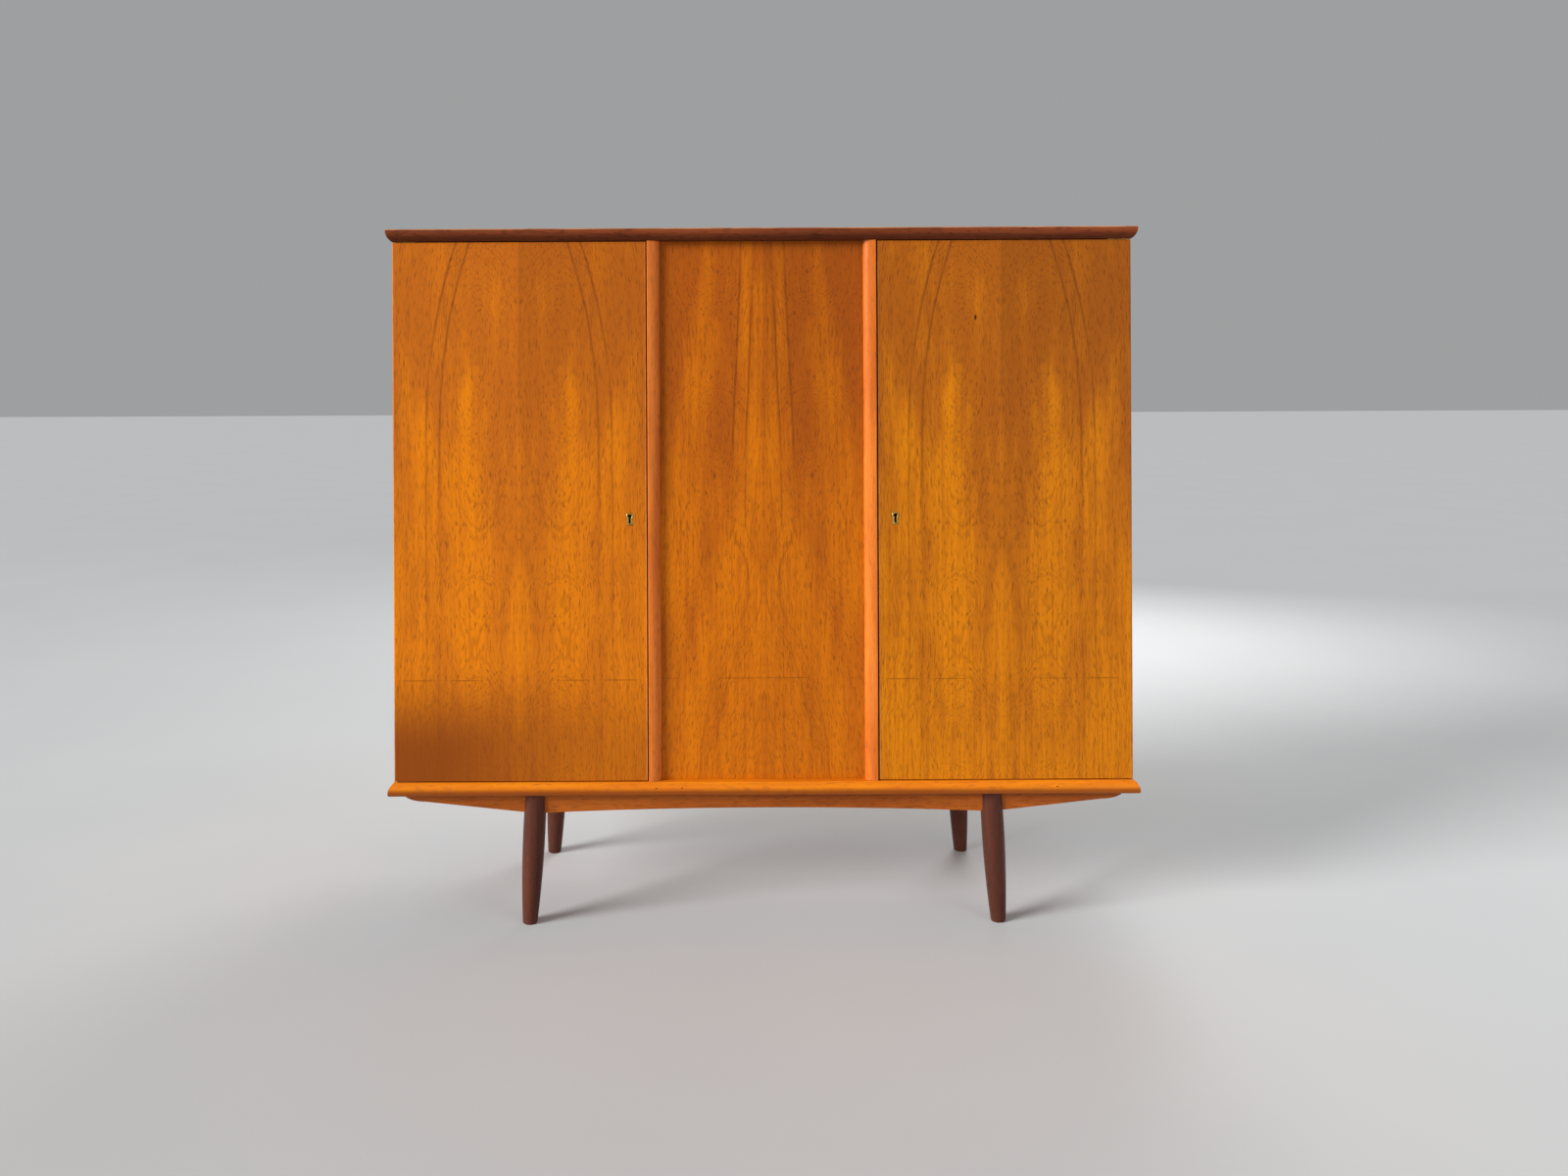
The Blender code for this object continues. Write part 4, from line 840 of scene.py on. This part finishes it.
def escutcheon(side_name):
    """A domed ring over one packed escutcheon."""
    node_name = f"{side_name}_escutcheon"
    low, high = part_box(node_name)
    middle = Vector(((low.x + high.x) / 2, 0, (low.z + high.z) / 2))
    head_height = RING_HEIGHT / 2 - HEAD_RADIUS
    outer = keyhole_loop(HEAD_RADIUS, WAIST_HALF, FOOT_HALF, -RING_HEIGHT / 2, head_height)
    inner = keyhole_loop(
        HOLE_RADIUS, HOLE_HALF, HOLE_HALF, head_height + HOLE_RADIUS - HOLE_LENGTH, head_height)
    back, rim = high.y, low.y + RING_DOME_MM / 1000
    sections = [(0.0, back)]
    for step in range(ROUND_STEPS + 1):
        turn = math.pi * step / ROUND_STEPS
        sections.append(((1 - math.cos(turn)) / 2, rim - RING_DOME_MM / 1000 * math.sin(turn)))
    sections.append((1.0, back))
    shape = bmesh.new()
    loops = []
    for share, depth in sections:
        loops.append([
            shape.verts.new((
                middle.x + (a[0] + (b[0] - a[0]) * share) / 1000, depth,
                middle.z + (a[1] + (b[1] - a[1]) * share) / 1000))
            for a, b in zip(outer, inner)])
    for loop, following in zip(loops, loops[1:] + loops[:1]):
        for index in range(len(loop)):
            beyond = (index + 1) % len(loop)
            shape.faces.new((loop[index], loop[beyond], following[beyond], following[index]))
    ring = stand(f"{side_name}_escutcheon_ring", shape, aged_brass, f"{side_name}_door")
    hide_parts(node_name)
    return ring


for side_name in ("left", "right"):
    ring = escutcheon(side_name)
    print(f"{ring.name}: {len(ring.data.polygons)} faces, {RING_HEIGHT} mm tall")

# %% [markdown]
# ## Screws
# The hinge leaves, lock fore-plates and strike plates are held by small slotted countersunk screws. A slot
# could be cut with a Boolean, but two half discs with a gap between them over a lower full disc give the
# same head with clean faces.

# %% Screw heads
SCREW_RADIUS = 0.0024
SLOT_HALF = 0.00032
SLOT_DEPTH = 0.0005
SCREW_PROUD = 0.00018
SCREW_SINK = 0.0010
HEAD_SIDES = 12
ARRIS_DROP, ARRIS_WIDTH = 0.0001, 0.00015


def screw(shape, place, facing, slot_turn):
    """A slotted countersunk head whose face stands a little proud of place."""
    turn = Vector(facing).to_track_quat("Z", "Y").to_matrix().to_4x4()
    move = Matrix.Translation(place) @ turn @ Matrix.Rotation(slot_turn, 4, "Z")
    floor_height = SCREW_PROUD - SLOT_DEPTH
    turned(shape, [(0, -SCREW_SINK), (SCREW_RADIUS * 0.6, -SCREW_SINK), (SCREW_RADIUS, floor_height),
                   (0, floor_height)], place, facing, sides=2 * HEAD_SIDES)
    start = math.asin(SLOT_HALF / SCREW_RADIUS)
    for flip in (1, -1):
        rim = [start + (math.pi - 2 * start) * step / HEAD_SIDES for step in range(HEAD_SIDES + 1)]
        rings = [
            [shape.verts.new(move @ Vector((
                radius * math.cos(angle), flip * max(radius * math.sin(angle), SLOT_HALF), height)))
             for angle in rim]
            for radius, height in ((SCREW_RADIUS, floor_height), (SCREW_RADIUS, SCREW_PROUD - ARRIS_DROP),
                                   (SCREW_RADIUS - ARRIS_WIDTH, SCREW_PROUD))]
        for lower, upper in zip(rings, rings[1:]):
            for index in range(len(lower)):
                beyond = (index + 1) % len(lower)
                shape.faces.new((lower[index], lower[beyond], upper[beyond], upper[index]))
        shape.faces.new(rings[0])
        shape.faces.new(rings[-1])


print("screw shape ready")

# %% [markdown]
# Each hinge leaf has two screws beyond its pin, and each plate has one above and one below. All those in a
# door are one piece, and all those in the case beside it are another, because they move apart. The slots
# are left at odd angles, as on a piece that was put together by hand.

# %% Where the screws go
LEAF_SCREWS = (0.020, 0.034)
PLATE_SCREWS = {"lock_case": 0.0425, "strike_plate": 0.0235}

for side_name, sign in (("left", -1), ("right", 1)):
    in_door, in_case = bmesh.new(), bmesh.new()
    pin_low, pin_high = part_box(f"{side_name}_top_hinge_pin")
    pivot = (pin_low.x + pin_high.x) / 2
    slab_low, slab_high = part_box(f"{side_name}_door")
    door_middle = (slab_low.y + slab_high.y) / 2
    for level, up in (("bottom", 1), ("top", -1)):
        case_low, case_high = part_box(f"{side_name}_{level}_case_leaf")
        door_low, door_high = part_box(f"{side_name}_{level}_door_leaf")
        leaf_depth = (case_low.y + case_high.y) / 2
        for reach in LEAF_SCREWS:
            across = pivot - sign * reach
            case_face = case_high.z if up > 0 else case_low.z
            door_face = door_low.z if up > 0 else door_high.z
            screw(in_case, (across, leaf_depth, case_face), (0, 0, up), 0.4 + 9 * reach)
            screw(in_door, (across, leaf_depth, door_face), (0, 0, -up), 1.1 + 13 * reach)
    for plate, shape, facing in (("lock_case", in_door, -sign), ("strike_plate", in_case, sign)):
        low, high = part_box(f"{side_name}_{plate}")
        face = low.x if facing < 0 else high.x
        for rise in (-PLATE_SCREWS[plate], PLATE_SCREWS[plate]):
            screw(shape, (face, door_middle, (low.z + high.z) / 2 + rise), (facing, 0, 0), 0.8 + rise)
    for name, shape, body in (
            (f"{side_name}_door_screws", in_door, f"{side_name}_door"),
            (f"{side_name}_case_screws", in_case, "carcass")):
        print(f"{stand(name, shape, aged_brass, body).name} placed")

# %% [markdown]
# ## Nails in the back and filled holes in the sill
# The back panel is nailed into its rebate with small round heads about a hand's width apart. Each head is
# a low dome that stands a fraction of a millimetre above the plywood, and its iron has gone dull, so the
# eye gets a row of small brown dots. On the front of the sill three nail holes were filled long ago, and the
# filler has darkened. Its matt skin is the only sign of them, so a thin domed disc on the curve is enough.

# %% Back nails
NAIL_RADIUS = 0.0026
NAIL_PROUD = 0.0003
NAIL_INSET = 0.005
NAIL_SPACING = 0.115

back_low, back_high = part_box("back_panel")
heads = bmesh.new()
nail_outline = [(0, -0.001), (NAIL_RADIUS, -0.001), (NAIL_RADIUS, NAIL_PROUD * 0.4),
                (NAIL_RADIUS * 0.7, NAIL_PROUD * 0.85), (0, NAIL_PROUD)]
wide, tall = back_high.x - back_low.x - 2 * NAIL_INSET, back_high.z - back_low.z - 2 * NAIL_INSET
across_count, up_count = round(wide / NAIL_SPACING), round(tall / NAIL_SPACING)
spots = [(index / across_count, edge) for index in range(across_count + 1) for edge in (0, 1)]
spots += [(edge, index / up_count) for index in range(1, up_count) for edge in (0, 1)]
for share_across, share_up in spots:
    turned(heads, nail_outline, (
        back_low.x + NAIL_INSET + wide * share_across, back_high.y,
        back_low.z + NAIL_INSET + tall * share_up), (0, 1, 0), sides=12)
stand("back_nails", heads, dull_iron, "carcass")
print(f"{len(spots)} nail heads")

# %% Sill fillers
FILLED_HOLES = (-0.236, -0.180, 0.643)
# depth and height of the holes on the sill's front curve, and the way the curve faces there
HOLE_DEPTH, HOLE_HEIGHT, CURVE_FACING = -0.2583, 0.3030, (0, -0.97, 0.24)
filler_outline = [(0, -0.0006), (0.0018, -0.0006), (0.0018, 0.00005), (0.0012, 0.00012), (0, 0.00015)]
dark_filler = wood("dark_wood_filler", ("#8A4416", "#6E3210", "#4E220A", "#381806"), roughness=0.55)
fillers = bmesh.new()
for across in FILLED_HOLES:
    turned(fillers, filler_outline, (across, HOLE_DEPTH, HOLE_HEIGHT), CURVE_FACING, sides=14)
stand("sill_fillers", fillers, dark_filler, "carcass")
print(f"{len(FILLED_HOLES)} filled holes")
